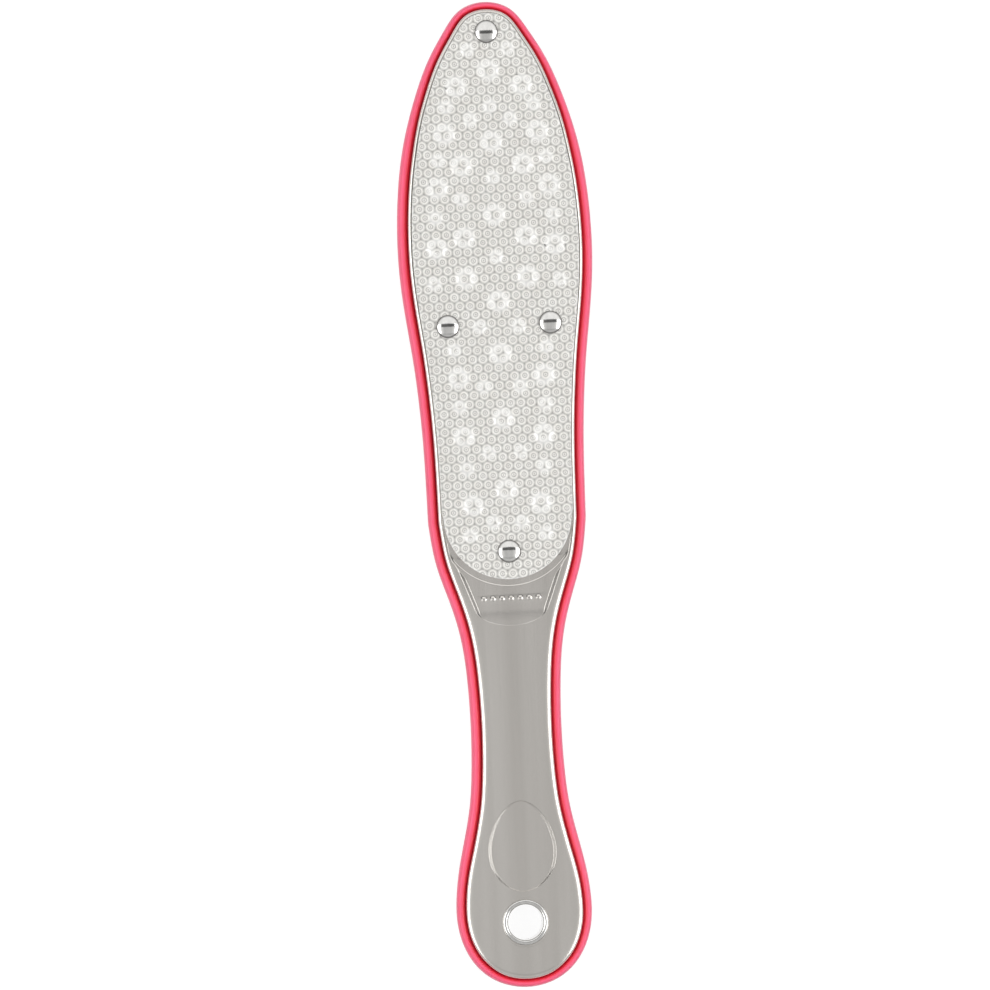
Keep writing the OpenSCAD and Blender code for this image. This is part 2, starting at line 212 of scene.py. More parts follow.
class Surface:
    """Loops and grids of points that are joined into one mesh."""

    def __init__(self) -> None:
        """Starts with no points and no faces."""
        self.points: list[np.ndarray] = []
        self.faces: list[np.ndarray] = []
        self.count = 0

    def loop(self, plan: np.ndarray, height: float | np.ndarray) -> np.ndarray:
        """Adds the points of one loop.

        Args:
            plan: Places of the points as seen from above.
            height: One height, or one for each point.
        Returns:
            Indices of the new points.
        """
        self.points.append(at_height(plan, height))
        first = self.count
        self.count += len(plan)
        return np.arange(first, self.count)

    def band(self, outer: np.ndarray, inner: np.ndarray) -> None:
        """Joins two clockwise loops of equal count by quads that face up where they lie flat."""
        self.faces.append(np.stack([outer, inner, np.roll(inner, -1), np.roll(outer, -1)], axis=1))

    def bands(self, loops: list[np.ndarray]) -> None:
        """Joins each loop to the next one, from the outermost to the innermost."""
        for outer, inner in zip(loops, loops[1:]):
            self.band(outer, inner)

    def fill(self, outer: np.ndarray, holes: list[np.ndarray]) -> None:
        """Closes the area inside a loop, apart from holes, by triangles that face up.

        Args:
            outer: Indices of the loop around the area.
            holes: Indices of each loop that stays open.
        """
        points = np.concatenate(self.points)
        ids = np.concatenate([outer, *holes])
        flat = points * (1.0, 1.0, 0.0)
        triangles = np.array(tessellate_polygon([flat[ring].tolist() for ring in (outer, *holes)]))
        a, b, c = (flat[ids[triangles[:, corner]]] for corner in range(3))
        down = np.cross(b - a, c - a)[:, 2] < 0.0
        triangles[down] = triangles[down][:, ::-1]
        self.faces.append(ids[triangles])

    def grid(self, rows: np.ndarray, closed_rows: bool) -> None:
        """Adds a grid of points whose rows are closed loops.

        Args:
            rows: Points, with one loop for each row.
            closed_rows: Whether the last row joins the first one.
        """
        count = rows.shape[1]
        ids = np.arange(rows.shape[0] * count).reshape(-1, count) + self.count
        self.points.append(rows.reshape(-1, 3))
        self.count += ids.size
        loops = [*ids, ids[0]] if closed_rows else list(ids)
        self.bands(loops)

    def piece(self, name: str, side: Side, lift: float) -> bpy.types.Object:
        """Makes the mesh object, with the fine side turned over about the middle plane.

        Args:
            name: Name of the object.
            side: The face that the heights are measured towards.
            lift: Height of the middle plane.
        Returns:
            The new object, with smooth faces.
        """
        points = np.concatenate(self.points) * (1.0, 1.0, side.value) + (0.0, 0.0, lift)
        faces = [face for group in self.faces for face in group[:, :: side.value].tolist()]
        mesh = bpy.data.meshes.new(name)
        mesh.from_pydata((points * MM).tolist(), [], faces)
        mesh.polygons.foreach_set("use_smooth", np.ones(len(mesh.polygons), dtype=bool))
        piece = bpy.data.objects.new(name, mesh)
        bpy.context.scene.collection.objects.link(piece)
        return piece


def welded(piece: bpy.types.Object, reach: float, sharp_angle: float) -> None:
    """Merges points that lie together, drops faces without area and marks sharp edges.

    Args:
        piece: Object whose mesh is cleaned.
        reach: Distance within which points are merged, in millimetres.
        sharp_angle: Angle between faces from which their edge is sharp, in degrees.
    """
    shape = bmesh.new()
    shape.from_mesh(piece.data)
    bmesh.ops.remove_doubles(shape, verts=shape.verts, dist=reach * MM)
    bmesh.ops.dissolve_degenerate(shape, edges=shape.edges, dist=reach * MM)
    shape.to_mesh(piece.data)
    shape.free()
    piece.data.set_sharp_from_angle(angle=math.radians(sharp_angle))


def marked(piece: bpy.types.Object, name: str, shares: np.ndarray) -> None:
    """Stores a share from 0 to 1 at each of the piece's points, for its finish to read."""
    layer = piece.data.attributes.new(name, "FLOAT", "POINT")
    layer.data.foreach_set("value", shares.astype(np.float32))


def dressed(piece: bpy.types.Object, nodes: list[str], material: bpy.types.Material) -> None:
    """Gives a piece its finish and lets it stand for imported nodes.

    Args:
        piece: The finished piece.
        nodes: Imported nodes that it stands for.
        material: The finish.
    """
    piece.data.materials.append(material)
    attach(piece, "root")
    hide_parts(*nodes)
    log.info("%s: %d faces", piece.name, len(piece.data.polygons))


@dataclass(frozen=True)
class Outline:
    """The file's outer edge: stations from the tip to the butt, joined by a smooth curve."""

    palm_w: float = 41.8
    waist_w: float = 24.0
    butt_w: float = 35.7
    head_at: float = 63.3
    handle_len: float = 125.5
    waist_up: float = 70.1
    butt_up: float = 22.7
    round_end_down: float = 0.9
    arc_steps: int = 80
    spacing: float = 0.5

    # Points of each stretch, as shares of its length and of the change in half-width along it
    nose_shares = ((0.033, 0.264), (0.125, 0.4435), (0.25, 0.62), (0.438, 0.797), (0.687, 0.943), (1, 1))
    palm_shares = ((0.235, 0.208), (0.444, 0.604), (0.656, 0.867), (0.83, 0.965), (1, 1))
    neck_shares = ((0.07, 0.022), (0.214, 0.153), (0.357, 0.408), (0.5, 0.686), (0.643, 0.867),
                   (0.803, 0.961), (1, 1))
    grip_shares = ((0.23, 0.039), (0.445, 0.186), (0.635, 0.49), (0.816, 0.815), (1, 1))
    butt_shares = ((0.348, 0.031), (0.674, 0.205), (0.912, 0.54), (1, 1))
    # Width of the rim as a share of its widest, at shares of the length from the butt to the tip
    rim_shares = ((0, 0.78), (0.02, 0.86), (0.1, 0.88), (0.15, 0.97), (0.24, 0.97), (0.42, 0.93),
                  (0.6, 0.94), (0.68, 0.98), (0.84, 0.97), (0.9, 0.83), (0.96, 0.76), (1, 0.72))

    @property
    def size(self) -> np.ndarray:
        """Width, length and height of the rim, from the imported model."""
        low, high = box_of("rim")
        return high - low

    @property
    def lift(self) -> float:
        """Height of the middle plane."""
        return float(box_of("rim")[:, 2].mean())

    @property
    def palm_y(self) -> float:
        """Y of the end of the straight lower part of the head."""
        return self.handle_len - self.size[1] / 2

    @property
    def arc_y(self) -> float:
        """Y of the middle of the round ends of the plates and their seats."""
        return self.palm_y - self.round_end_down

    def rim_width(self, y: np.ndarray) -> np.ndarray:
        """Width of the rim, which is narrower round the tip and the butt end.

        Soft steps join the shares given at each station.

        Args:
            y: Y of each point of the edge.
        Returns:
            Width at each point.
        """
        widest = float(box_of("rim")[1, 0] - box_of("front_shell")[1, 0])
        place = y / self.size[1] + 0.5
        stations, shares = np.array(self.rim_shares).T
        width = np.full(len(y), shares[0])
        for start, end, step in zip(stations, stations[1:], np.diff(shares)):
            width = width + step * smooth((place - start) / (end - start))
        return width * widest

    def from_tip(self, distance: float) -> float:
        """Y of a place given by its distance from the tip."""
        return self.size[1] / 2 - distance

    def from_butt(self, distance: float) -> float:
        """Y of a place given by its distance from the butt end."""
        return distance - self.size[1] / 2

    def loop(self) -> np.ndarray:
        """The outer edge, clockwise from the tip.

        Returns:
            Evenly spread points.
        """
        head_w, length = self.size[:2]
        stations = np.array([
            (0.0, self.from_tip(0.0)),
            (head_w / 2, self.from_tip(self.head_at)),
            (self.palm_w / 2, self.palm_y),
            (self.waist_w / 2, self.from_butt(self.waist_up)),
            (self.butt_w / 2, self.from_butt(self.butt_up)),
            (0.0, self.from_tip(length)),
        ])
        shares = (self.nose_shares, self.palm_shares, self.neck_shares, self.grip_shares, self.butt_shares)
        stretches = [
            start + np.array(share)[:, ::-1] * (end - start)
            for start, end, share in zip(stations, stations[1:], shares)
        ]
        right = np.vstack([stations[:1], *stretches])
        return even_loop(curve_through(both_halves(right)), self.spacing)

    def right_side(self, distance: float) -> np.ndarray:
        """Right half of the edge, moved inwards to the pans' wall and on by a distance."""
        edge = self.loop()
        return inset(edge, self.rim_width(edge[:, 1]) + distance)[: len(edge) // 2]

    def round_end(self, radius: float, start: float, end: float) -> np.ndarray:
        """Round end of a plate or a seat between two angles below the horizontal."""
        turn = np.linspace(start, end, self.arc_steps)
        return np.stack([radius * np.cos(turn), self.arc_y - radius * np.sin(turn)], axis=1)


def blank_material(name: str) -> tuple[bpy.types.Material, bpy.types.ShaderNodeTree, bpy.types.Node]:
    """A new material with nodes.

    Args:
        name: Name of the material.
    Returns:
        The material, its node tree and its surface shader.
    """
    material = bpy.data.materials.new(name)
    material.use_nodes = True
    tree = material.node_tree
    return material, tree, tree.nodes["Principled BSDF"]


@dataclass(frozen=True)
class Grain:
    """A noise that follows the object: grains in a metre along X, Y and Z, octaves, depth in metres."""

    scale: tuple
    octaves: float
    depth: float = 0.0

    def nodes(self, tree: bpy.types.ShaderNodeTree) -> bpy.types.NodeSocket:
        """Adds the noise to a material.

        Args:
            tree: Node tree that gets the nodes.
        Returns:
            The noise's height, about 0.5 on average.
        """
        place = tree.nodes.new("ShaderNodeTexCoord")
        stretch = tree.nodes.new("ShaderNodeMapping")
        stretch.inputs["Scale"].default_value = self.scale
        grain = tree.nodes.new("ShaderNodeTexNoise")
        grain.inputs["Scale"].default_value = 1.0
        grain.inputs["Detail"].default_value = self.octaves
        tree.links.new(place.outputs["Object"], stretch.inputs["Vector"])
        tree.links.new(stretch.outputs["Vector"], grain.inputs["Vector"])
        return grain.outputs["Fac"]


def spread(tree: bpy.types.ShaderNodeTree, value: bpy.types.NodeSocket, low: float, high: float,
           start: float = NOISE_LOW, end: float = NOISE_HIGH, way: str = "LINEAR") -> bpy.types.NodeSocket:
    """Maps a range of a value, by default the middle of a noise's, onto other limits.

    Args:
        tree: Node tree that gets the node.
        value: The value.
        low: Result where the value is at the range's start or below.
        high: Result where the value is at the range's end or above.
        start: Start of the range.
        end: End of the range.
        way: How the result goes from one limit to the other.
    Returns:
        The mapped value.
    """
    remap = tree.nodes.new("ShaderNodeMapRange")
    remap.interpolation_type = way
    remap.inputs["From Min"].default_value = start
    remap.inputs["From Max"].default_value = end
    remap.inputs["To Min"].default_value = low
    remap.inputs["To Max"].default_value = high
    tree.links.new(value, remap.inputs["Value"])
    return remap.outputs["Result"]


def calculated(tree: bpy.types.ShaderNodeTree, operation: str, value: bpy.types.NodeSocket,
               other: bpy.types.NodeSocket | float | None = None) -> bpy.types.NodeSocket:
    """Result of a Math node.

    Args:
        tree: Node tree that gets the node.
        operation: What the node does.
        value: The first value.
        other: The second value, if the node takes one.
    Returns:
        The result.
    """
    node = tree.nodes.new("ShaderNodeMath")
    node.operation = operation
    tree.links.new(value, node.inputs[0])
    if isinstance(other, bpy.types.NodeSocket):
        tree.links.new(other, node.inputs[1])
    elif other is not None:
        node.inputs[1].default_value = other
    return node.outputs["Value"]


def tinted(tree: bpy.types.ShaderNodeTree, value: bpy.types.NodeSocket, dark: tuple,
           light: tuple) -> bpy.types.NodeSocket:
    """Colour that wanders between two tones with a noise.

    Args:
        tree: Node tree that gets the node.
        value: The noise.
        dark: Colour where the noise is low.
        light: Colour where the noise is high.
    Returns:
        The colour.
    """
    ramp = tree.nodes.new("ShaderNodeValToRGB")
    for mark, place, tone in zip(ramp.color_ramp.elements, (NOISE_LOW, NOISE_HIGH), (dark, light)):
        mark.position = place
        mark.color = (*tone, 1.0)
    tree.links.new(value, ramp.inputs["Fac"])
    return ramp.outputs["Color"]


def toned(tree: bpy.types.ShaderNodeTree, colour: bpy.types.NodeSocket, mark: str, most: float,
          tone: tuple) -> bpy.types.NodeSocket:
    """Colour that goes over to a tone where the piece is marked.

    Args:
        tree: Node tree that gets the nodes.
        colour: Colour of the unmarked places.
        mark: Name of the share stored on the piece.
        most: Share of the tone where the mark is 1.
        tone: Colour that the marked places take on.
    Returns:
        The colour.
    """
    place = tree.nodes.new("ShaderNodeAttribute")
    place.attribute_name = mark
    share = calculated(tree, "MULTIPLY", place.outputs["Fac"], most)
    blend = tree.nodes.new("ShaderNodeMix")
    blend.data_type = "RGBA"
    blend.inputs[MIX_SECOND].default_value = (*tone, 1.0)
    tree.links.new(share, blend.inputs["Factor"])
    tree.links.new(colour, blend.inputs[MIX_FIRST])
    return blend.outputs[MIX_RESULT]


def relief(tree: bpy.types.ShaderNodeTree, shader: bpy.types.Node, layers: list[tuple]) -> None:
    """Stacks bump layers on a shader.

    Args:
        tree: Node tree that gets the nodes.
        shader: The surface shader.
        layers: Pairs of a noise and its depth in metres.
    """
    below = None
    for value, depth in layers:
        bump = tree.nodes.new("ShaderNodeBump")
        bump.inputs["Distance"].default_value = depth
        tree.links.new(value, bump.inputs["Height"])
        if below is not None:
            tree.links.new(below, bump.inputs["Normal"])
        below = bump.outputs["Normal"]
    tree.links.new(below, shader.inputs["Normal"])


@dataclass(frozen=True)
class SatinSteel:
    """Smooth stamped steel with faint bands and a fine grain along the file."""

    dark: tuple = (0.66, 0.63, 0.59)
    light: tuple = (0.75, 0.72, 0.68)
    roughness: tuple = (0.17, 0.25)
    bands: Grain = Grain((160.0, 5.0, 160.0), 2.0, 1.5e-5)
    grain: Grain = Grain((5000.0, 60.0, 5000.0), 2.0, 6e-7)

    def material(self) -> bpy.types.Material:
        """Bands 6 mm wide tint the steel, and a grain 0.2 mm wide roughens it.

        Returns:
            The finish.
        """
        material, tree, shader = blank_material("satin_steel")
        shader.inputs["Metallic"].default_value = 1.0
        bands, grain = self.bands.nodes(tree), self.grain.nodes(tree)
        tree.links.new(tinted(tree, bands, self.dark, self.light), shader.inputs["Base Color"])
        tree.links.new(spread(tree, grain, *self.roughness), shader.inputs["Roughness"])
        relief(tree, shader, [(bands, self.bands.depth), (grain, self.grain.depth)])
        return material


@dataclass(frozen=True)
class AbrasiveSteel:
    """Bright embossed steel whose ring-shaped cutters carry small burrs."""

    dark: tuple = (0.86, 0.845, 0.81)
    light: tuple = (1.0, 0.99, 0.95)
    worn: tuple = (0.94, 0.93, 0.92)
    fresh: tuple = (1.0, 1.0, 1.0)
    # Colour and most share of the painted highlight on the bosses' slopes and along the plate's edge
    bright: tuple = (1.0, 0.995, 0.975)
    highlight_share: float = 0.6
    metal: float = 0.2
    roughness: tuple = (0.3, 0.46)
    burrs: Grain = Grain((2400.0, 2400.0, 2400.0), 3.0, 3e-5)
    wear: Grain = Grain((330.0, 330.0, 330.0), 2.0)
    ring_depth: float = 1.5e-4

    # Painted highlight and shade across a cutter, at shares of the pitch from its middle: bright at its
    # crests, darker in its grooves
    tones = ((0.0, 0.5), (0.05, 0.56), (0.12, 1.0), (0.18, 0.58), (0.235, 0.62), (0.29, 1.0),
             (0.345, 1.0), (0.4, 0.86), (0.48, 0.66), (0.577, 0.34))

    def rings(self, tree: bpy.types.ShaderNodeTree) -> bpy.types.NodeSocket:
        """Painted highlight and shade of the cutters: two bright rings with darker steel between and around
        them.

        Args:
            tree: Node tree that gets the nodes.
        Returns:
            The tone.
        """
        place = tree.nodes.new("ShaderNodeUVMap")
        place.uv_map = "cell"
        reach = tree.nodes.new("ShaderNodeVectorMath")
        reach.operation = "LENGTH"
        ramp = tree.nodes.new("ShaderNodeValToRGB")
        marks = ramp.color_ramp.elements
        while len(marks) < len(self.tones):
            marks.new(1.0)
        for mark, (share, tone) in zip(marks, self.tones):
            mark.position = share
            mark.color = (tone, tone, tone, 1.0)
        tree.links.new(place.outputs["UV"], reach.inputs[0])
        tree.links.new(reach.outputs["Value"], ramp.inputs["Fac"])
        return ramp.outputs["Color"]

    def material(self) -> bpy.types.Material:
        """Rings and burrs 0.4 mm wide tint and raise the steel; the rings' tint is painted highlight and
        shade, and a painted highlight lightens the bosses' slopes and the plate's edge.

        Returns:
            The finish.
        """
        material, tree, shader = blank_material("abrasive_steel")
        shader.inputs["Metallic"].default_value = self.metal
        burrs, wear = self.burrs.nodes(tree), self.wear.nodes(tree)
        # Painted highlight and shade of the cutters, which also raise them as bumps
        rings = self.rings(tree)
        colour = tinted(tree, burrs, self.dark, self.light)
        for layer in (tinted(tree, wear, self.worn, self.fresh), rings):
            product = tree.nodes.new("ShaderNodeVectorMath")
            product.operation = "MULTIPLY"
            tree.links.new(colour, product.inputs[0])
            tree.links.new(layer, product.inputs[1])
            colour = product.outputs["Vector"]
        # Painted highlight on the bosses' slopes and along the plate's edge
        colour = toned(tree, colour, "painted_highlight", self.highlight_share, self.bright)
        tree.links.new(colour, shader.inputs["Base Color"])
        tree.links.new(spread(tree, burrs, *self.roughness), shader.inputs["Roughness"])
        relief(tree, shader, [(rings, self.ring_depth), (burrs, self.burrs.depth)])
        return material


@dataclass(frozen=True)
class PolishedSteel:
    """Mirror-polished steel of the rivets and of the eyelet."""

    dark: tuple = (0.70, 0.69, 0.67)
    light: tuple = (0.80, 0.79, 0.77)
    # Colour and most share of the painted shade at a head's foot, where it meets the plate
    foot_shade: tuple = (0.12, 0.115, 0.11)
    foot_shade_share: float = 0.85
    roughness: tuple = (0.07, 0.14)
    wipes: Grain = Grain((900.0, 500.0, 900.0), 3.0, 2e-6)

    def material(self) -> bpy.types.Material:
        """Faint wipe marks 1 mm wide vary the polish, and a painted shade darkens each head's foot.

        Returns:
            The finish.
        """
        material, tree, shader = blank_material("polished_steel")
        shader.inputs["Metallic"].default_value = 1.0
        wipes = self.wipes.nodes(tree)
        steel = tinted(tree, wipes, self.dark, self.light)
        # Painted shade at each head's foot, standing in for its contact shadow and dark outline
        colour = toned(tree, steel, "foot", self.foot_shade_share, self.foot_shade)
        tree.links.new(colour, shader.inputs["Base Color"])
        tree.links.new(spread(tree, wipes, *self.roughness), shader.inputs["Roughness"])
        relief(tree, shader, [(wipes, self.wipes.depth)])
        return material


@dataclass(frozen=True)
class SoftRim:
    """Coral elastomer with a satin skin."""

    dark: tuple = (0.97, 0.105, 0.21)
    light: tuple = (1.0, 0.12, 0.235)
    # Deeper red of the painted shade in the groove next to the pans
    deep: tuple = (0.93, 0.012, 0.04)
    mirror: float = 0.45
    coat: float = 0.3
    coat_ior: float = 1.65
    coat_roughness: float = 0.28
    sheen: float = 0.05
    sheen_roughness: float = 0.4
    scatter: float = 0.2
    scatter_reach: tuple = (1.0, 0.3, 0.35)
    scatter_scale: float = 0.0015
    roughness: tuple = (0.42, 0.52)
    clouds: Grain = Grain((220.0, 120.0, 220.0), 2.0)
    skin: Grain = Grain((4000.0, 4000.0, 4000.0), 2.0, 4e-6)

    def material(self) -> bpy.types.Material:
        """A fine moulded grain 0.25 mm wide under a soft sheen, with a painted shade of deeper red in the
        groove.

        Returns:
            The finish.
        """
        material, tree, shader = blank_material("soft_rim")
        shader.inputs["Specular IOR Level"].default_value = self.mirror
        shader.inputs["Coat Weight"].default_value = self.coat
        shader.inputs["Coat IOR"].default_value = self.coat_ior
        shader.inputs["Coat Roughness"].default_value = self.coat_roughness
        shader.inputs["Sheen Weight"].default_value = self.sheen
        shader.inputs["Sheen Roughness"].default_value = self.sheen_roughness
        shader.inputs["Subsurface Weight"].default_value = self.scatter
        shader.inputs["Subsurface Radius"].default_value = self.scatter_reach
        shader.inputs["Subsurface Scale"].default_value = self.scatter_scale
        clouds, skin = self.clouds.nodes(tree), self.skin.nodes(tree)
        # Painted shade: the colour goes over to a deeper red in the groove
        colour = toned(tree, tinted(tree, clouds, self.dark, self.light), "groove_shade", 1.0, self.deep)
        tree.links.new(colour, shader.inputs["Base Color"])
        tree.links.new(spread(tree, skin, *self.roughness), shader.inputs["Roughness"])
        relief(tree, shader, [(skin, self.skin.depth)])
        return material


@dataclass(frozen=True)
class CorePlastic:
    """Dark moulded plastic of the hidden core."""

    dark: tuple = (0.05, 0.05, 0.055)
    light: tuple = (0.07, 0.07, 0.075)
    roughness: tuple = (0.45, 0.6)
    grain: Grain = Grain((2500.0, 2500.0, 2500.0), 3.0, 2e-5)

    def material(self) -> bpy.types.Material:
        """A spark-eroded grain 0.4 mm wide.

        Returns:
            The finish.
        """
        material, tree, shader = blank_material("core_plastic")
        grain = self.grain.nodes(tree)
        tree.links.new(tinted(tree, grain, self.dark, self.light), shader.inputs["Base Color"])
        tree.links.new(spread(tree, grain, *self.roughness), shader.inputs["Roughness"])
        relief(tree, shader, [(grain, self.grain.depth)])
        return material


@dataclass(frozen=True)
class Pan:
    """One stamped steel half: wall, rounded shoulder, plate seat, label panel, thumb rest, hole."""

    side: Side
    outline: Outline
    sheet_t: float = 0.5
    lip_h: float = 0.85
    head_bend_r: float = 0.92
    handle_bend_r: float = 1.0
    lead_in_r: float = 3.0
    lead_in_slope: float = 25.0
    bend_fade: float = 30.0
    bend_low_slope: float = 30.0
    bend_steps: int = 9
    lead_in_steps: int = 8
    seat_gap: float = 0.05
    seat_arc_r: float = 19.35
    seat_ledge: float = 0.55
    seat_fade_from: float = 10.5
    seat_fade_to: float = 13.0
    line_from: float = 3.5
    line_fade: float = 5.0
    label_top_w: float = 28.0
    label_low_w: float = 18.2
    label_down: float = 30.1
    label_arc_r: float = 16.5
    label_depth: float = 0.2
    label_low_steps: int = 60
    label_low_depth: float = 0.06
    label_low_from: float = 1.0
    label_low_fade: float = 3.0
    label_corner_r: float = 1.1
    label_slope_w: float = 0.9
    label_slope_from: float = 14.5
    label_slope_fade: float = 3.5
    line_w: float = 0.2
    faint_line_w: float = 0.055
    line_share: float = 0.4
    step_w: float = 0.4
    pip_up: float = 7.2
    pip_row_w: float = 14.5
    thumb_len: float = 24.0
    thumb_w: float = 18.0
    thumb_up: float = 25.3
    thumb_depth: float = 0.3
    thumb_slope_w: float = 0.5
    thumb_line_w: float = 0.16
    thumb_line_share: float = 0.5
    thumb_end_line_w: float = 0.1
    dimple_w: float = 0.9
    dimple_depth: float = 0.08
    dimple_steps: int = 7
    hole_sides: int = 128
    rivet_hole_sides: int = 32
    pip_sides: int = 24
    guard: float = 0.04

    # Points of the thumb rest's right half, as shares of its length and of its half-width
    thumb_shares = ((0, 0), (0.04, 0.32), (0.135, 0.585), (0.25, 0.785), (0.38, 0.925), (0.515, 0.995),
                    (0.65, 0.98), (0.78, 0.87), (0.89, 0.65), (0.97, 0.35), (1, 0))
    # Heights across a panel's edge: two short drops with a gentle slope between them
    drop_shares = (0.0, 0.15, 0.5, 0.85, 1.0)
    # Radius, pitch, number of rows and height of the label panel's pips
    large_pips = (1.0, 2.4, 1, 0.26)
    small_pips = (0.42, 1.1, 2, 0.18)
    # A pip's loops, as shares of its radius
    pip_shares = (1.0, 0.8, 0.6, 0.4, 0.2)

    @property
    def node(self) -> str:
        """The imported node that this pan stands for."""
        return "front_shell" if self.side is Side.COARSE else "back_shell"

    @property
    def face_h(self) -> float:
        """Height of the pan's face above the middle plane."""
        return float(box_of("front_shell")[1, 2]) - self.outline.lift

    @property
    def seat_depth(self) -> float:
        """Depth of the plate's seat below the face."""
        return self.face_h - (self.outline.lift - float(box_of("fine_plate")[1, 2]))

    def wall_and_shoulder(self, surface: Surface) -> np.ndarray:
        """The wall and the shoulder, carried round the outline.

        At slope s the shoulder lies bend * (1 - sin(s)) inside the wall. In the handle a wider
        bend takes over below the lead-in's slope, so the face runs into it softly.

        Args:
            surface: Surface that gets the loops.
        Returns:
            The innermost loop, level with the face.
        """
        edge = self.outline.loop()
        rim_w = self.outline.rim_width(edge[:, 1])
        handle = smooth((self.outline.palm_y - edge[:, 1]) / self.bend_fade)
        bend_r = self.head_bend_r + (self.handle_bend_r - self.head_bend_r) * handle
        soft_r = self.head_bend_r + (self.lead_in_r - self.head_bend_r) * handle
        turn_at = math.radians(self.lead_in_slope)
        shoulder_w = bend_r * (1.0 - math.sin(turn_at)) + soft_r * math.sin(turn_at)
        rings = [surface.loop(inset(edge, rim_w), self.lip_h)]
        bend = np.linspace(90.0, self.bend_low_slope, self.bend_steps)
        lead_in = np.linspace(self.lead_in_slope, 0.0, self.lead_in_steps)
        for slope in np.radians(np.append(bend, lead_in)):
            soft = min(slope, turn_at)
            before = soft_r * math.sin(soft) + bend_r * (math.sin(slope) - math.sin(soft))
            fall = soft_r * (1.0 - math.cos(soft)) + bend_r * (math.cos(soft) - math.cos(slope))
            rings.append(surface.loop(inset(edge, rim_w + shoulder_w - before), self.face_h - fall))
        rings.append(surface.loop(inset(edge, rim_w + shoulder_w + self.guard), self.face_h))
        surface.bands(rings)
        return rings[-1]

    def seat_half(self, ledge: float, end: float) -> np.ndarray:
        """Right half of the plate's seat: the outline's side, then its round end.

        Args:
            ledge: Distance from the seat's outer edge.
            end: Angle below the horizontal at which the round end stops.
        Returns:
            Points from the tip to the end of the arc.
        """
        arc_r = self.seat_arc_r - ledge
        side = self.outline.right_side(self.head_bend_r + self.guard + self.seat_gap + ledge)
        below = np.minimum(side[:, 1] - self.outline.arc_y, 0.0)
        side = side[: int(np.argmax((np.hypot(side[:, 0], below) > arc_r) & (below < 0.0)))]
        start = math.atan2(self.outline.arc_y - side[-1, 1], side[-1, 0])
        return np.vstack([side, self.outline.round_end(arc_r, start, end)])

    def rounded(self, half: np.ndarray) -> np.ndarray:
        """A closed loop from its right half, with rounded corners."""
        loop = even_loop(both_halves(half), self.outline.spacing)
        return softened(loop, self.label_corner_r)

    def recess_loop(self) -> np.ndarray:
        """Outer edge of the seat and the label panel together: the panel ends in a flat arc.

        Returns:
            Points of the loop, clockwise from the tip.
        """
        half = self.seat_half(0.0, math.acos(self.label_top_w / 2 / self.seat_arc_r))
        low_y = self.outline.palm_y - self.label_down
        widest = math.asin(self.label_low_w / 2 / self.label_arc_r)
        turn = np.linspace(widest, 0.0, self.label_low_steps)
        low = np.stack([np.sin(turn), 1.0 - np.cos(turn)], axis=1) * self.label_arc_r + (0.0, low_y)
        return self.rounded(np.vstack([half, low]))

    def seat_loop(self) -> np.ndarray:
        """Edge of the seat's deeper floor.

        Returns:
            Points of the loop, clockwise from the tip.
        """
        half = self.seat_half(self.seat_ledge, math.pi / 2)
        half[-1, 0] = 0.0
        return self.rounded(half)

    def floor_depth(self, y: np.ndarray) -> np.ndarray:
        """Depth below the face at the recess's edge: the seat's, the label's and, at its foot, less.

        Args:
            y: Y of each point.
        Returns:
            Depth at each point.
        """
        palm_y = self.outline.palm_y
        share = smooth((y - (palm_y - self.seat_fade_to)) / (self.seat_fade_to - self.seat_fade_from))
        low_y = palm_y - self.label_down + self.label_low_from
        foot = 1.0 - smooth((y - low_y) / self.label_low_fade)
        label_depth = self.label_depth + (self.label_low_depth - self.label_depth) * foot
        return label_depth + (self.seat_depth - label_depth) * share

    def panel_edge(self, surface: Surface, loop: np.ndarray, depth: np.ndarray, line_w: np.ndarray,
                   slope_w: np.ndarray, shares: tuple) -> tuple[np.ndarray, np.ndarray]:
        """Edge of a sunk panel, carried round its loop.

        Going inwards it drops over one line's width, slopes gently over the slope's width and
        drops again.

        Args:
            surface: Surface that gets the loops.
            loop: Outer edge of the panel.
            depth: Depth of the floor at each point.
            line_w: Width of each drop at each point.
            slope_w: Width of the slope at each point.
            shares: Share of the depth that the first and the second drop take at each point.
        Returns:
            The outermost and the innermost loop.
        """
        lines = np.linspace(0.0, 1.0, len(self.drop_shares))
        rings = [surface.loop(inset(loop, -self.guard), self.face_h)]
        for start, before, part in ((0.0 * slope_w, 0.0 * depth, shares[0]),
                                    (line_w + slope_w, 1.0 - shares[1], shares[1])):
            for along, drop in zip(lines, self.drop_shares):
                place = inset(loop, start + along * line_w)
                rings.append(surface.loop(place, self.face_h - depth * (before + part * drop)))
        rings.append(surface.loop(inset(loop, 2 * line_w + slope_w + self.guard), self.face_h - depth))
        surface.bands(rings)
        return rings[0], rings[-1]

    def recess(self, surface: Surface) -> tuple[np.ndarray, np.ndarray]:
        """Edge of the seat and the label panel: crisp in the head, broad along the label's sides.

        Args:
            surface: Surface that gets the loops.
        Returns:
            The outermost and the innermost loop.
        """
        loop = self.recess_loop()
        y = loop[:, 1]
        label = smooth((self.outline.palm_y - self.line_from - y) / self.line_fade)
        sides = smooth((self.outline.palm_y - self.label_slope_from - y) / self.label_slope_fade)
        facing = np.abs(inward(loop)[:, 0]) ** 3
        line_w = self.line_w + (self.faint_line_w - self.line_w) * (1.0 - facing) * sides
        line_w = self.guard + (line_w - self.guard) * label
        drop = np.full(len(loop), self.line_share)
        slope_w = self.label_slope_w * sides * facing
        return self.panel_edge(surface, loop, self.floor_depth(y), line_w, slope_w, (drop, drop))

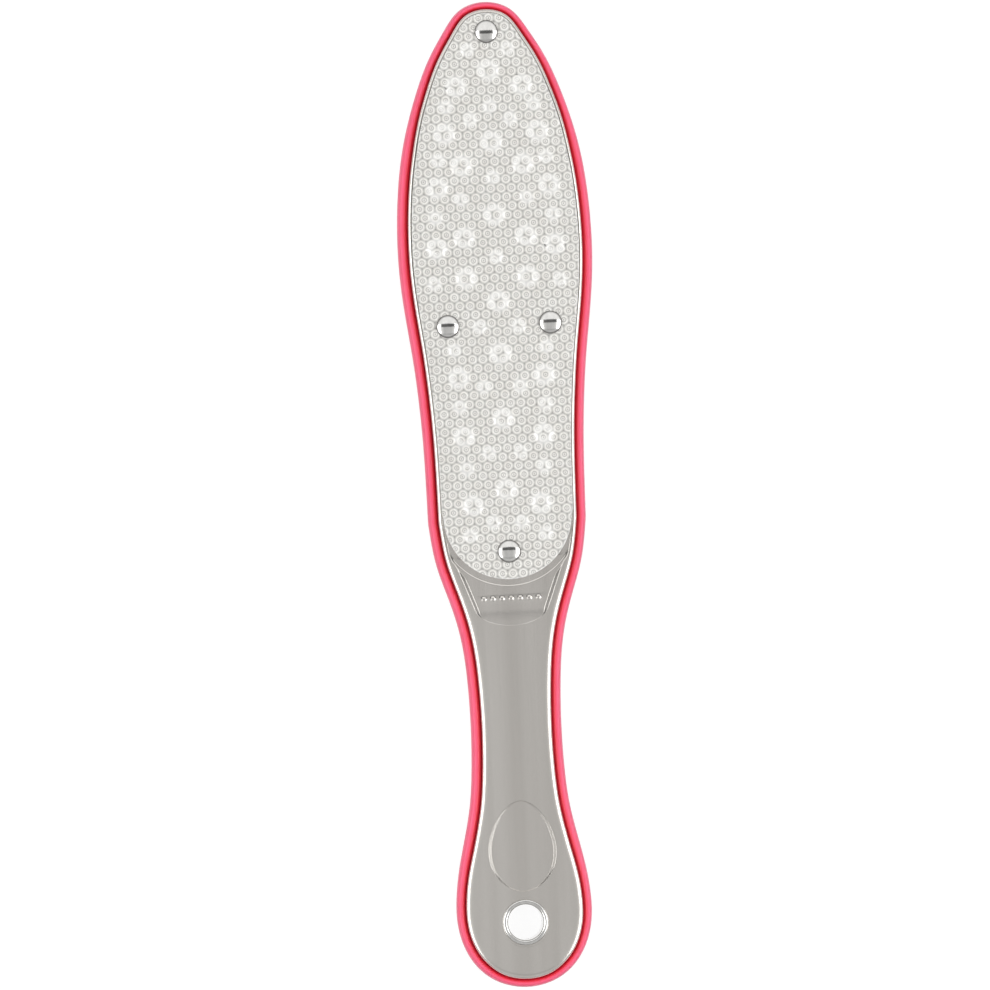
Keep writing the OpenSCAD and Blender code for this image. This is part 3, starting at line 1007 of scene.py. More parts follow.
    def seat_step(self, surface: Surface) -> tuple[np.ndarray, np.ndarray]:
        """Step from the label's floor down to the seat's floor along the round end.

        Args:
            surface: Surface that gets the loops.
        Returns:
            The outermost and the innermost loop.
        """
        loop = self.seat_loop()
        upper = self.face_h - self.floor_depth(loop[:, 1])
        lower = self.face_h - self.seat_depth
        rings = [surface.loop(inset(loop, -self.guard), upper)]
        for along, drop in zip(np.linspace(0.0, 1.0, len(self.drop_shares)), self.drop_shares):
            rings.append(surface.loop(inset(loop, along * self.step_w), upper + (lower - upper) * drop))
        rings.append(surface.loop(inset(loop, self.step_w + self.guard), lower))
        surface.bands(rings)
        return rings[0], rings[-1]

    def thumb_rest(self, surface: Surface) -> tuple[np.ndarray, np.ndarray]:
        """Edge of the drop-shaped thumb rest, broadest where it faces the file's sides.

        Args:
            surface: Surface that gets the loops.
        Returns:
            The outermost and the innermost loop.
        """
        shares = np.array(self.thumb_shares)
        top_y = self.outline.from_butt(self.thumb_up + self.thumb_len)
        right = np.stack([shares[:, 1] * self.thumb_w / 2, top_y - shares[:, 0] * self.thumb_len], axis=1)
        loop = even_loop(curve_through(both_halves(right)), self.outline.spacing / 2)
        facing = np.abs(inward(loop)[:, 0]) ** 2
        line_w = self.thumb_end_line_w + (self.thumb_line_w - self.thumb_end_line_w) * facing
        drop = 0.5 + (self.thumb_line_share - 0.5) * facing
        depth = np.full(len(loop), self.thumb_depth)
        return self.panel_edge(surface, loop, depth, line_w, self.thumb_slope_w * facing, (drop, drop))

    def eyelet_dimple(self, surface: Surface, eyelet: "Eyelet") -> np.ndarray:
        """Shallow dimple around the eyelet and the hole that its barrel goes through.

        Args:
            surface: Surface that gets the loops.
            eyelet: The eyelet that sits in the dimple.
        Returns:
            The outermost loop.
        """
        rings = []
        for share in np.linspace(0.0, 1.0, self.dimple_steps):
            radius = eyelet.outer_r + self.dimple_w * (1.0 - share)
            height = self.face_h - self.dimple_depth * float(smooth(np.array(share)))
            rings.append(surface.loop(circle(eyelet.centre, radius, self.hole_sides), height))
        hole = circle(eyelet.centre, eyelet.barrel_r + self.guard, self.hole_sides)
        rings.append(surface.loop(hole, self.face_h - self.dimple_depth))
        surface.bands(rings)
        return rings[0]

    def pips(self, surface: Surface) -> list[np.ndarray]:
        """Raised pips in the label panel: a row of large ones, or two rows of small ones.

        Each is a dome whose height falls as (1 + cos(pi * share)) / 2 to its edge.

        Args:
            surface: Surface that gets the domes.
        Returns:
            The outer loop of each pip.
        """
        coarse = self.side is Side.COARSE
        radius, pitch, rows, height = self.large_pips if coarse else self.small_pips
        floor_h = self.face_h - self.label_depth
        middle_y = self.outline.palm_y - self.label_down + self.pip_up
        count = int(self.pip_row_w / pitch / 2)
        edges = []
        for row in range(rows):
            for place in range(-count, count + 1):
                centre = np.array([place * pitch, middle_y - (row - (rows - 1) / 2) * pitch])
                rings = [
                    surface.loop(circle(centre, radius * share, self.pip_sides),
                                 floor_h + height * (1.0 + math.cos(math.pi * share)) / 2)
                    for share in self.pip_shares
                ]
                surface.bands(rings)
                surface.fill(rings[-1], [])
                edges.append(rings[0])
        return edges

    def build(self, eyelet: "Eyelet", rivets: list["Rivet"], finish: SatinSteel) -> bpy.types.Object:
        """Builds and dresses the pan.

        Args:
            eyelet: The eyelet that goes through the handle.
            rivets: The rivets that go through the seat.
            finish: The pan's finish.
        Returns:
            The pan as a closed sheet.
        """
        surface = Surface()
        edge = self.wall_and_shoulder(surface)
        recess_edge, recess_floor = self.recess(surface)
        seat_edge, seat_floor = self.seat_step(surface)
        thumb_edge, thumb_floor = self.thumb_rest(surface)
        dimple = self.eyelet_dimple(surface, eyelet)
        seat_h = self.face_h - self.seat_depth
        holes = [
            surface.loop(circle(rivet.centre, rivet.post_r + self.guard, self.rivet_hole_sides), seat_h)
            for rivet in rivets
        ]
        surface.fill(edge, [recess_edge, thumb_edge, dimple])
        surface.fill(recess_floor, [seat_edge, *self.pips(surface)])
        surface.fill(seat_floor, holes)
        surface.fill(thumb_floor, [])
        piece = surface.piece(self.node + "_pan", self.side, self.outline.lift)
        wall = piece.modifiers.new("sheet", "SOLIDIFY")
        wall.thickness = self.sheet_t * MM
        wall.offset = -1.0
        dressed(piece, [self.node], finish.material())
        return piece


@dataclass(frozen=True)
class Plate:
    """An abrasive plate: ring-shaped cutters in a honeycomb, on bosses where it has any."""

    side: Side
    outline: Outline
    pitch: float
    row_gap: float
    phase: tuple
    cutter_h: float
    ring_radii: tuple
    ring_heights: tuple
    bossed: bool
    seed: int
    sunk: float = 0.1
    lobes: int = 4
    lobe_share: float = 0.18
    cutter_low: float = 0.88
    cutter_range: float = 0.24
    rivet_clear: float = 0.35
    rivet_gap: float = 0.05
    border: float = 1.05
    touch_share: float = 0.6
    weld_reach: float = 0.01
    sharp_angle: float = 66.0
    boss_power: float = 1.35
    big_boss_r: float = 3.05
    big_boss_top_r: float = 0.9
    small_boss_r: float = 2.05
    small_boss_top_r: float = 0.4
    small_boss_h: float = 0.5

    # Steps of a cell's number from row to row and across, and how many cells have draws of their own
    row_step = 97
    column_step = 1009
    draw_count = 4096
    # Places of the bosses, as shares of half the head's width and of the straight part's length
    big_shares = ((0, 0.135), (0.34, 0.165), (0.48, 0.257), (0, 0.275), (0.318, 0.32), (0.575, 0.363),
                  (0, 0.418), (0.318, 0.461), (0.605, 0.48), (0.318, 0.541), (0, 0.588), (0, 0.69),
                  (0.441, 0.735), (0, 0.818), (0.41, 0.851), (0, 0.957), (0.35, 0.986))
    small_shares = ((0.205, 0.094), (0, 0.206), (0.451, 0.204), (0.205, 0.231), (0.554, 0.308),
                    (0, 0.345), (0.338, 0.386), (0.605, 0.421), (0, 0.5), (0.646, 0.549), (0.2, 0.637),
                    (0.472, 0.68), (0.185, 0.755), (0.441, 0.792), (0.164, 0.884), (0.395, 0.914),
                    (0.144, 1.021), (0.39, 1.045))

    @property
    def node(self) -> str:
        """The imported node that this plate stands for."""
        return "coarse_plate" if self.side is Side.COARSE else "fine_plate"

    @property
    def levels(self) -> tuple[float, float]:
        """Heights of the plate's underside and of its flat top above the middle plane."""
        low, high = box_of("fine_plate")[:, 2]
        return self.outline.lift - high, self.outline.lift - low

    def loop(self) -> np.ndarray:
        """Edge of the plate: the outline moved inwards, then a half circle.

        Returns:
            Points of the loop, clockwise from the tip.
        """
        side = self.outline.right_side(self.border)
        side = side[side[:, 1] > self.outline.palm_y]
        end_r = self.outline.arc_y - float(box_of("fine_plate")[0, 1])
        arc = self.outline.round_end(end_r, 0.0, math.pi / 2)
        arc[-1, 0] = 0.0
        return even_loop(both_halves(np.vstack([side, arc])), self.outline.spacing)

    def boss_shares(self, points: np.ndarray) -> list[tuple[np.ndarray, float]]:
        """Share of the way from the nearest boss's flat top to its foot, for both sizes of boss.

        Args:
            points: Places on the plate.
        Returns:
            The share at each place and the boss's height, for the large and the small bosses.
        """
        half_w = self.outline.size[0] / 2
        straight = self.outline.size[1] - self.outline.handle_len
        big_h = float(box_of("coarse_plate")[1, 2]) - self.outline.lift - self.levels[1]
        found = []
        for shares, radius, top_r, top in (
            (self.big_shares, self.big_boss_r, self.big_boss_top_r, big_h),
            (self.small_shares, self.small_boss_r, self.small_boss_top_r, self.small_boss_h),
        ):
            right = np.array(shares) * (half_w, -straight) + (0.0, self.outline.from_tip(0.0))
            centres = np.vstack([right, right * (-1.0, 1.0)])
            gap = np.linalg.norm(points[:, None, :] - centres[None, :, :], axis=2)
            share = np.clip((gap.min(axis=1) - top_r) / (radius - top_r), 0.0, 1.0)
            found.append((share, top))
        return found

    def boss_height(self, points: np.ndarray) -> np.ndarray:
        """Height of the bosses, which fall to their edge ever more steeply from a small flat top.

        At a share s of the way from the top's edge to the foot the height is h * (1 - s^power).

        Args:
            points: Places on the plate.
        Returns:
            Height at each place.
        """
        height = np.zeros(len(points))
        if self.bossed:
            for share, top in self.boss_shares(points):
                height = np.maximum(height, top * (1.0 - share**self.boss_power))
        return height

    def painted_highlight(self, points: np.ndarray, at_edge: np.ndarray) -> np.ndarray:
        """Share of painted highlight: 4s(1 - s) on the bosses' slopes, 1 along the edge.

        Args:
            points: Places on the plate.
            at_edge: Whether each point lies on the plate's edge.
        Returns:
            A share for each point.
        """
        painted_highlight = at_edge.astype(float)
        if self.bossed:
            for share, _ in self.boss_shares(points):
                painted_highlight = np.maximum(painted_highlight, 4.0 * share * (1.0 - share))
        return painted_highlight

    def centre(self, row: np.ndarray, column: np.ndarray) -> np.ndarray:
        """Middles of cells: every second row is shifted by half a pitch."""
        across = self.phase[0] + (column + (row % 2) / 2) * self.pitch
        return np.stack([across, self.phase[1] + row * self.row_gap], axis=1)

    def cell_of(self, points: np.ndarray) -> tuple[np.ndarray, np.ndarray]:
        """The honeycomb cell that each point lies in.

        Args:
            points: Places on the plate.
        Returns:
            The cells' centres, and a whole number for each cell.
        """
        best = np.full(len(points), np.inf)
        centres = np.zeros_like(points)
        labels = np.zeros(len(points), dtype=int)
        near_row = np.floor((points[:, 1] - self.phase[1]) / self.row_gap)
        for step in (0, 1):
            row = near_row + step
            column = np.round((points[:, 0] - self.phase[0]) / self.pitch - (row % 2) / 2)
            centre = self.centre(row, column)
            gap = np.linalg.norm(points - centre, axis=1)
            nearer = gap < best
            best[nearer] = gap[nearer]
            centres[nearer] = centre[nearer]
            labels[nearer] = (row * self.row_step + column * self.column_step)[nearer].astype(int)
        return centres, labels

    def height(self, points: np.ndarray, rivets: list["Rivet"]) -> np.ndarray:
        """Height of the plate's upper face above the middle plane.

        It is the sunk sheet, plus the bosses, plus a ring-shaped cutter in each cell. The ring's
        height follows the radii and heights given, swells with cos(lobes * angle) and fades out
        under the rivets' heads.

        Args:
            points: Places on the plate.
            rivets: The rivets that go through the plate.
        Returns:
            Height at each place.
        """
        centres, labels = self.cell_of(points)
        gap = points - centres
        radius = np.linalg.norm(gap, axis=1)
        angle = np.arctan2(gap[:, 1], gap[:, 0])
        draws = np.random.default_rng(self.seed).random((self.draw_count, 2))[labels % self.draw_count]
        ring = np.interp(radius, self.ring_radii, self.ring_heights)
        swell = 1.0 + self.lobe_share * np.cos(self.lobes * angle + 2.0 * math.pi * draws[:, 0])
        cutter = self.cutter_h * ring * swell * (self.cutter_low + self.cutter_range * draws[:, 1])
        for rivet in rivets:
            reach = np.linalg.norm(points - rivet.centre, axis=1) - rivet.head_r
            cutter = cutter * smooth(reach / self.rivet_clear + 0.5)
        return self.levels[1] - self.sunk + self.boss_height(points) + cutter

    def cell_points(self) -> np.ndarray:
        """Points of one cell around its centre: the centre, its rings and its six-sided edge.

        The edge's corners lie where three cells meet, at half a pitch across and
        (g^2 - p^2 / 4) / 2g up, and at (g^2 + p^2 / 4) / 2g straight up, for a pitch p and row
        gap g. Halfway points of its sides make it twelve points.

        Returns:
            Rows of twelve points, from the centre outwards.
        """
        half, gap = self.pitch / 2, self.row_gap
        low = (gap**2 - half**2) / (2 * gap)
        top = (gap**2 + half**2) / (2 * gap)
        corners = np.array([(0, top), (half, low), (half, -low), (0, -top), (-half, -low), (-half, low)])
        middles = (corners + np.roll(corners, -1, axis=0)) / 2
        edge = np.stack([corners, middles], axis=1).reshape(-1, 2)
        ways = edge / np.linalg.norm(edge, axis=1)[:, None]
        rings = [ways * radius for radius in self.ring_radii[:-1]]
        return np.stack([*rings, edge])

    def held_inside(self, points: np.ndarray, loop: np.ndarray) -> np.ndarray:
        """Points that lie outside a loop are moved to the nearest place on it.

        Args:
            points: Places on the plate.
            loop: Edge of the plate.
        Returns:
            The points, none of them outside.
        """
        depth, normal = depth_inside(points, loop)
        return points - normal * np.minimum(depth, 0.0)[:, None]

    def centres_inside(self, loop: np.ndarray) -> tuple[np.ndarray, np.ndarray]:
        """Middles of the cells that touch the plate.

        Args:
            loop: Edge of the plate.
        Returns:
            The middles, and whether each is near the edge.
        """
        low = (loop.min(axis=0) - self.phase) / (self.pitch, self.row_gap) - 1.0
        high = (loop.max(axis=0) - self.phase) / (self.pitch, self.row_gap) + 1.0
        rows = np.arange(math.floor(low[1]), math.ceil(high[1]) + 1)
        columns = np.arange(math.floor(low[0]), math.ceil(high[0]) + 1)
        row, column = (part.ravel() for part in np.meshgrid(rows, columns, indexing="ij"))
        centres = self.centre(row, column)
        depth = depth_inside(centres, loop)[0]
        touching = depth > -self.pitch * self.touch_share
        return centres[touching], depth[touching] < self.pitch

    def build(self, rivets: list["Rivet"], finish: AbrasiveSteel) -> bpy.types.Object:
        """Builds and dresses the plate.

        Args:
            rivets: The rivets that go through the plate.
            finish: The plate's finish.
        Returns:
            The plate as a closed sheet.
        """
        loop = self.loop()
        centres, near_edge = self.centres_inside(loop)
        local = self.cell_points()
        rings, sides = local.shape[:2]
        plan = centres[:, None, None, :] + local[None]
        loose = plan.copy()
        held = self.held_inside(plan[near_edge].reshape(-1, 2), loop)
        plan[near_edge] = held.reshape(plan[near_edge].shape)
        at_edge = (plan != loose).any(axis=-1).ravel()
        flat = plan.reshape(-1, 2)
        for rivet in rivets:
            away = flat - rivet.centre
            reach = np.maximum(np.linalg.norm(away, axis=1), TINY)
            out = np.maximum((rivet.post_r + self.rivet_gap) / reach, 1.0)
            flat = rivet.centre + away * out[:, None]
        surface = Surface()
        ids = np.arange(len(flat)).reshape(-1, rings, sides)
        surface.points.append(np.column_stack([flat, self.height(flat, rivets)]))
        surface.count = len(flat)
        for ring in range(rings - 1):
            inner, outer = ids[:, ring], ids[:, ring + 1]
            quads = np.stack([outer, inner, np.roll(inner, -1, axis=1), np.roll(outer, -1, axis=1)], axis=2)
            surface.faces.append(quads.reshape(-1, 4))
        piece = surface.piece(self.node + "_sheet", self.side, self.outline.lift)
        offsets = (flat - centres.repeat(rings * sides, axis=0)) / self.pitch
        # The bosses' slopes and the plate's edge get a painted highlight
        self.mark_cells(piece, offsets, self.painted_highlight(flat, at_edge))
        self.close(piece)
        dressed(piece, [self.node], finish.material())
        return piece

    def mark_cells(self, piece: bpy.types.Object, offsets: np.ndarray, painted_highlight: np.ndarray) -> None:
        """Stores each corner's place in its cell as a UV map, for the rings, and the share of painted
        highlight.

        Args:
            piece: Object whose cells aren't welded yet.
            offsets: Place of each point from its cell's middle, in pitches.
            painted_highlight: Share of painted highlight at each point.
        """
        mesh = piece.data
        points = np.empty(len(mesh.loops), dtype=np.int32)
        mesh.loops.foreach_get("vertex_index", points)
        cells = mesh.uv_layers.new(name="cell")
        cells.data.foreach_set("uv", offsets[points].astype(np.float32).ravel())
        # Share of painted highlight at each point
        marked(piece, "painted_highlight", painted_highlight)

    def close(self, piece: bpy.types.Object) -> None:
        """Welds the cells together and gives the sheet its edges and its underside.

        Args:
            piece: Object whose mesh holds the upper face.
        """
        shape = bmesh.new()
        shape.from_mesh(piece.data)
        bmesh.ops.remove_doubles(shape, verts=shape.verts, dist=self.weld_reach * MM)
        bmesh.ops.dissolve_degenerate(shape, edges=shape.edges, dist=self.weld_reach * MM)
        rims = [edge for edge in shape.edges if edge.is_boundary]
        made = bmesh.ops.extrude_edge_only(shape, edges=rims)["geom"]
        under = (self.outline.lift + self.side.value * self.levels[0]) * MM
        for vert in (part for part in made if isinstance(part, bmesh.types.BMVert)):
            vert.co.z = under
        lower = [part for part in made if isinstance(part, bmesh.types.BMEdge)]
        bmesh.ops.triangle_fill(shape, edges=lower, use_beauty=True, normal=Vector((0, 0, -self.side.value)))
        bmesh.ops.recalc_face_normals(shape, faces=shape.faces)
        shape.to_mesh(piece.data)
        shape.free()
        piece.data.polygons.foreach_set("use_smooth", np.ones(len(piece.data.polygons), dtype=bool))
        piece.data.set_sharp_from_angle(angle=math.radians(self.sharp_angle))


@dataclass(frozen=True)
class Rim:
    """Soft band that grips the core's flange: a rounded bead that dips where it meets the pans."""

    outline: Outline
    root_h: float = 1.5
    crown_share: float = 0.42
    bead_from: float = 4.0
    bead_steps: int = 15
    dip_steps: int = 13
    # Shares of the rim's width where the painted shade in the groove starts and where it is full
    groove_from: float = 0.42
    groove_to: float = 0.78
    dip_power: float = 2.6
    slot_depth: float = 1.35
    slot_h: float = 0.75
    parting_w: float = 0.16
    parting_depth: float = 0.05
    fit_gap: float = 0.05
    skin_gap: float = 0.004

    def profile(self) -> np.ndarray:
        """Section of the rim as shares of its width, distances beyond them and heights.

        A quarter ellipse rises from the middle plane to the crown. From there the height falls as
        crown - (crown - root) * share^power to the pan's wall. A shallow notch marks the parting
        line, and the core's flange has a slot.

        Returns:
            Closed section, from the parting line over the upper half to the lower one.
        """
        crown_h = self.outline.size[2] / 2
        turn = np.radians(np.linspace(self.bead_from, 90.0, self.bead_steps))
        along = self.crown_share * (1.0 - np.cos(turn))
        bead = np.column_stack([along, self.skin_gap * (1.0 - along), crown_h * np.sin(turn)])
        share = np.linspace(0.0, 1.0, self.dip_steps)[1:]
        dip = np.column_stack([self.crown_share + (1.0 - self.crown_share) * share, -self.fit_gap * share,
                               crown_h - (crown_h - self.root_h) * share**self.dip_power])
        slot = [(1.0, -self.fit_gap, self.slot_h), (1.0, -self.fit_gap - self.slot_depth, self.slot_h)]
        upper = np.vstack([[(0.0, self.skin_gap, self.parting_w / 2)], bead, dip, slot])
        return np.vstack([[(0.0, self.parting_depth, 0.0)], upper, upper[::-1] * (1.0, 1.0, -1.0)])

    def build(self, finish: SoftRim) -> bpy.types.Object:
        """Carries the section round the outline and dresses the rim.

        Args:
            finish: The rim's finish.
        Returns:
            The rim as a closed band.
        """
        edge = self.outline.loop()
        width = self.outline.rim_width(edge[:, 1])
        rows = np.stack([
            at_height(inset(edge, share * width + beyond), height)
            for share, beyond, height in self.profile()
        ])
        surface = Surface()
        surface.grid(rows, closed_rows=True)
        piece = surface.piece("soft_rim_band", Side.COARSE, self.outline.lift)
        # Share of painted shade in the groove at each point, for the finish
        groove_shade = (self.profile()[:, 0] - self.groove_from) / (self.groove_to - self.groove_from)
        marked(piece, "groove_shade", np.repeat(smooth(groove_shade), len(edge)))
        piece.data.set_sharp_from_angle(angle=math.radians(SHARP_ANGLE))
        dressed(piece, ["rim"], finish.material())
        return piece


def revolved(name: str, profile: np.ndarray, centre: np.ndarray, side: Side,
             lift: float) -> bpy.types.Object:
    """Turns a section about an upright axis.

    Args:
        name: Name of the object.
        profile: Radii and heights, from the outer underside over the top to the axis.
        centre: Place of the axis.
        side: The face that the heights are measured towards.
        lift: Height of the middle plane.
    Returns:
        The closed piece.
    """
    rows = np.stack([
        at_height(circle(centre, radius, TURNED_SIDES), height) for radius, height in profile
    ])
    surface = Surface()
    surface.grid(rows, closed_rows=profile[0, 0] > 0.0)
    piece = surface.piece(name, side, lift)
    welded(piece, TURNED_WELD, SHARP_ANGLE)
    return piece


@dataclass(frozen=True)
class Eyelet:
    """Polished barrel through the handle, with an edge rolled over each pan."""

    outline: Outline
    face_h: float
    wall: float = 0.4
    tuck: float = 0.12
    tuck_out: float = 0.02
    barrel_from: float = 1.0
    roll_end: float = -22.0
    roll_steps: int = 25

    @property
    def centre(self) -> np.ndarray:
        """Place of the hanging hole."""
        return box_of("hang_eyelet")[:, :2].mean(axis=0)

    @property
    def outer_r(self) -> float:
        """Radius of the rolled edge."""
        return float(np.ptp(box_of("hang_eyelet")[:, 0])) / 2

    @property
    def roll_r(self) -> float:
        """Radius of the roll's section."""
        return float(np.ptp(box_of("hang_eyelet")[:, 2])) / 2 - self.face_h

    @property
    def barrel_r(self) -> float:
        """Outer radius of the barrel."""
        return self.outer_r - 2 * self.roll_r + self.wall

    def build(self, finish: PolishedSteel) -> bpy.types.Object:
        """The roll's section is a half circle that tucks in under its outer side.

        Args:
            finish: The eyelet's finish.
        Returns:
            The closed eyelet.
        """
        turn = np.radians(np.linspace(180.0, self.roll_end, self.roll_steps))
        middle_r = self.outer_r - self.roll_r
        roll = np.stack([np.cos(turn), np.sin(turn)], axis=1) * self.roll_r + (middle_r, self.face_h)
        tucked = (self.barrel_r + self.tuck_out, self.face_h - self.tuck)
        upper = np.vstack([roll, [tucked, (self.barrel_r, self.face_h - self.barrel_from)]])
        section = np.vstack([upper, upper[::-1] * (1.0, -1.0)])
        piece = revolved("eyelet_roll", section[::-1], self.centre, Side.COARSE, self.outline.lift)
        dressed(piece, ["hang_eyelet"], finish.material())
        return piece


@dataclass(frozen=True)
class Rivet:
    """One rivet: a hollow half from the coarse side and a solid half from the fine side."""

    place: str
    outline: Outline
    edge_r: float = 0.4
    edge_out: float = 0.35
    edge_turn: float = 150.0
    edge_steps: int = 9
    cap_steps: int = 22
    # Height above the plate over which the painted shade at a head's foot fades
    foot_shade_h: float = 0.32
    post_r: float = 1.5
    pin_r: float = 0.9
    bore_gap: float = 0.05

    @property
    def box(self) -> np.ndarray:
        """Box of the hollow half."""
        return box_of("rivet_post_" + self.place)

    @property
    def centre(self) -> np.ndarray:
        """Place of the rivet's axis."""
        return self.box[:, :2].mean(axis=0)

    @property
    def head_r(self) -> float:
        """Radius of the heads."""
        return float(np.ptp(self.box[:, 0])) / 2

    def head(self, base_h: float) -> np.ndarray:
        """Section of a head: a spherical cap over a rounded edge.

        Args:
            base_h: Height of the head's flat underside.
        Returns:
            Radii and heights, from the axis out to the underside.
        """
        top_h = float(self.box[1, 2]) - self.outline.lift
        cap_h = top_h - base_h - self.edge_r
        cap_r = self.head_r - self.edge_r * self.edge_out
        ball_r = (cap_r**2 + cap_h**2) / (2 * cap_h)
        steep = math.asin(cap_r / ball_r)
        turn = np.linspace(0.0, steep, self.cap_steps)
        cap = np.stack([ball_r * np.sin(turn), top_h - ball_r * (1.0 - np.cos(turn))], axis=1)
        bend = np.linspace(steep, math.radians(self.edge_turn), self.edge_steps)[1:]
        hub = cap[-1] - self.edge_r * np.array([math.sin(steep), math.cos(steep)])
        edge = hub + self.edge_r * np.stack([np.sin(bend), np.cos(bend)], axis=1)
        edge[:, 1] = np.maximum(edge[:, 1], base_h)
        return np.vstack([cap, edge])

    def build(self, plate_h: float, finish: PolishedSteel) -> list[bpy.types.Object]:
        """Builds and dresses both halves.

        Args:
            plate_h: Height of the plates' flat top above the middle plane.
            finish: The rivets' finish.
        Returns:
            The hollow half and the solid half.
        """
        head = self.head(plate_h)
        deep = float(self.outline.lift - self.box[0, 2])
        bore_r = self.pin_r + self.bore_gap
        post = np.vstack([head, [(self.post_r, plate_h), (self.post_r, -deep), (bore_r, -deep),
                                 (bore_r, deep), (0.0, deep)]])
        pin = np.vstack([head, [(self.pin_r, plate_h), (self.pin_r, self.bore_gap - deep),
                                (0.0, self.bore_gap - deep)]])
        pieces = []
        for half, section, side in (("post", post, Side.COARSE), ("pin", pin, Side.FINE)):
            name = f"rivet_{half}_{self.place}"
            piece = revolved(name + "_turned", section[::-1], self.centre, side, self.outline.lift)
            spots = np.empty(len(piece.data.vertices) * 3)
            piece.data.vertices.foreach_get("co", spots)
            above = np.abs(spots[2::3] / MM - self.outline.lift) - plate_h
            # Share of painted shade at the head's foot, for the finish
            marked(piece, "foot", 1.0 - smooth((above - self.foot_shade_h) / self.foot_shade_h))
            dressed(piece, [name], finish.material())
            pieces.append(piece)
        return pieces


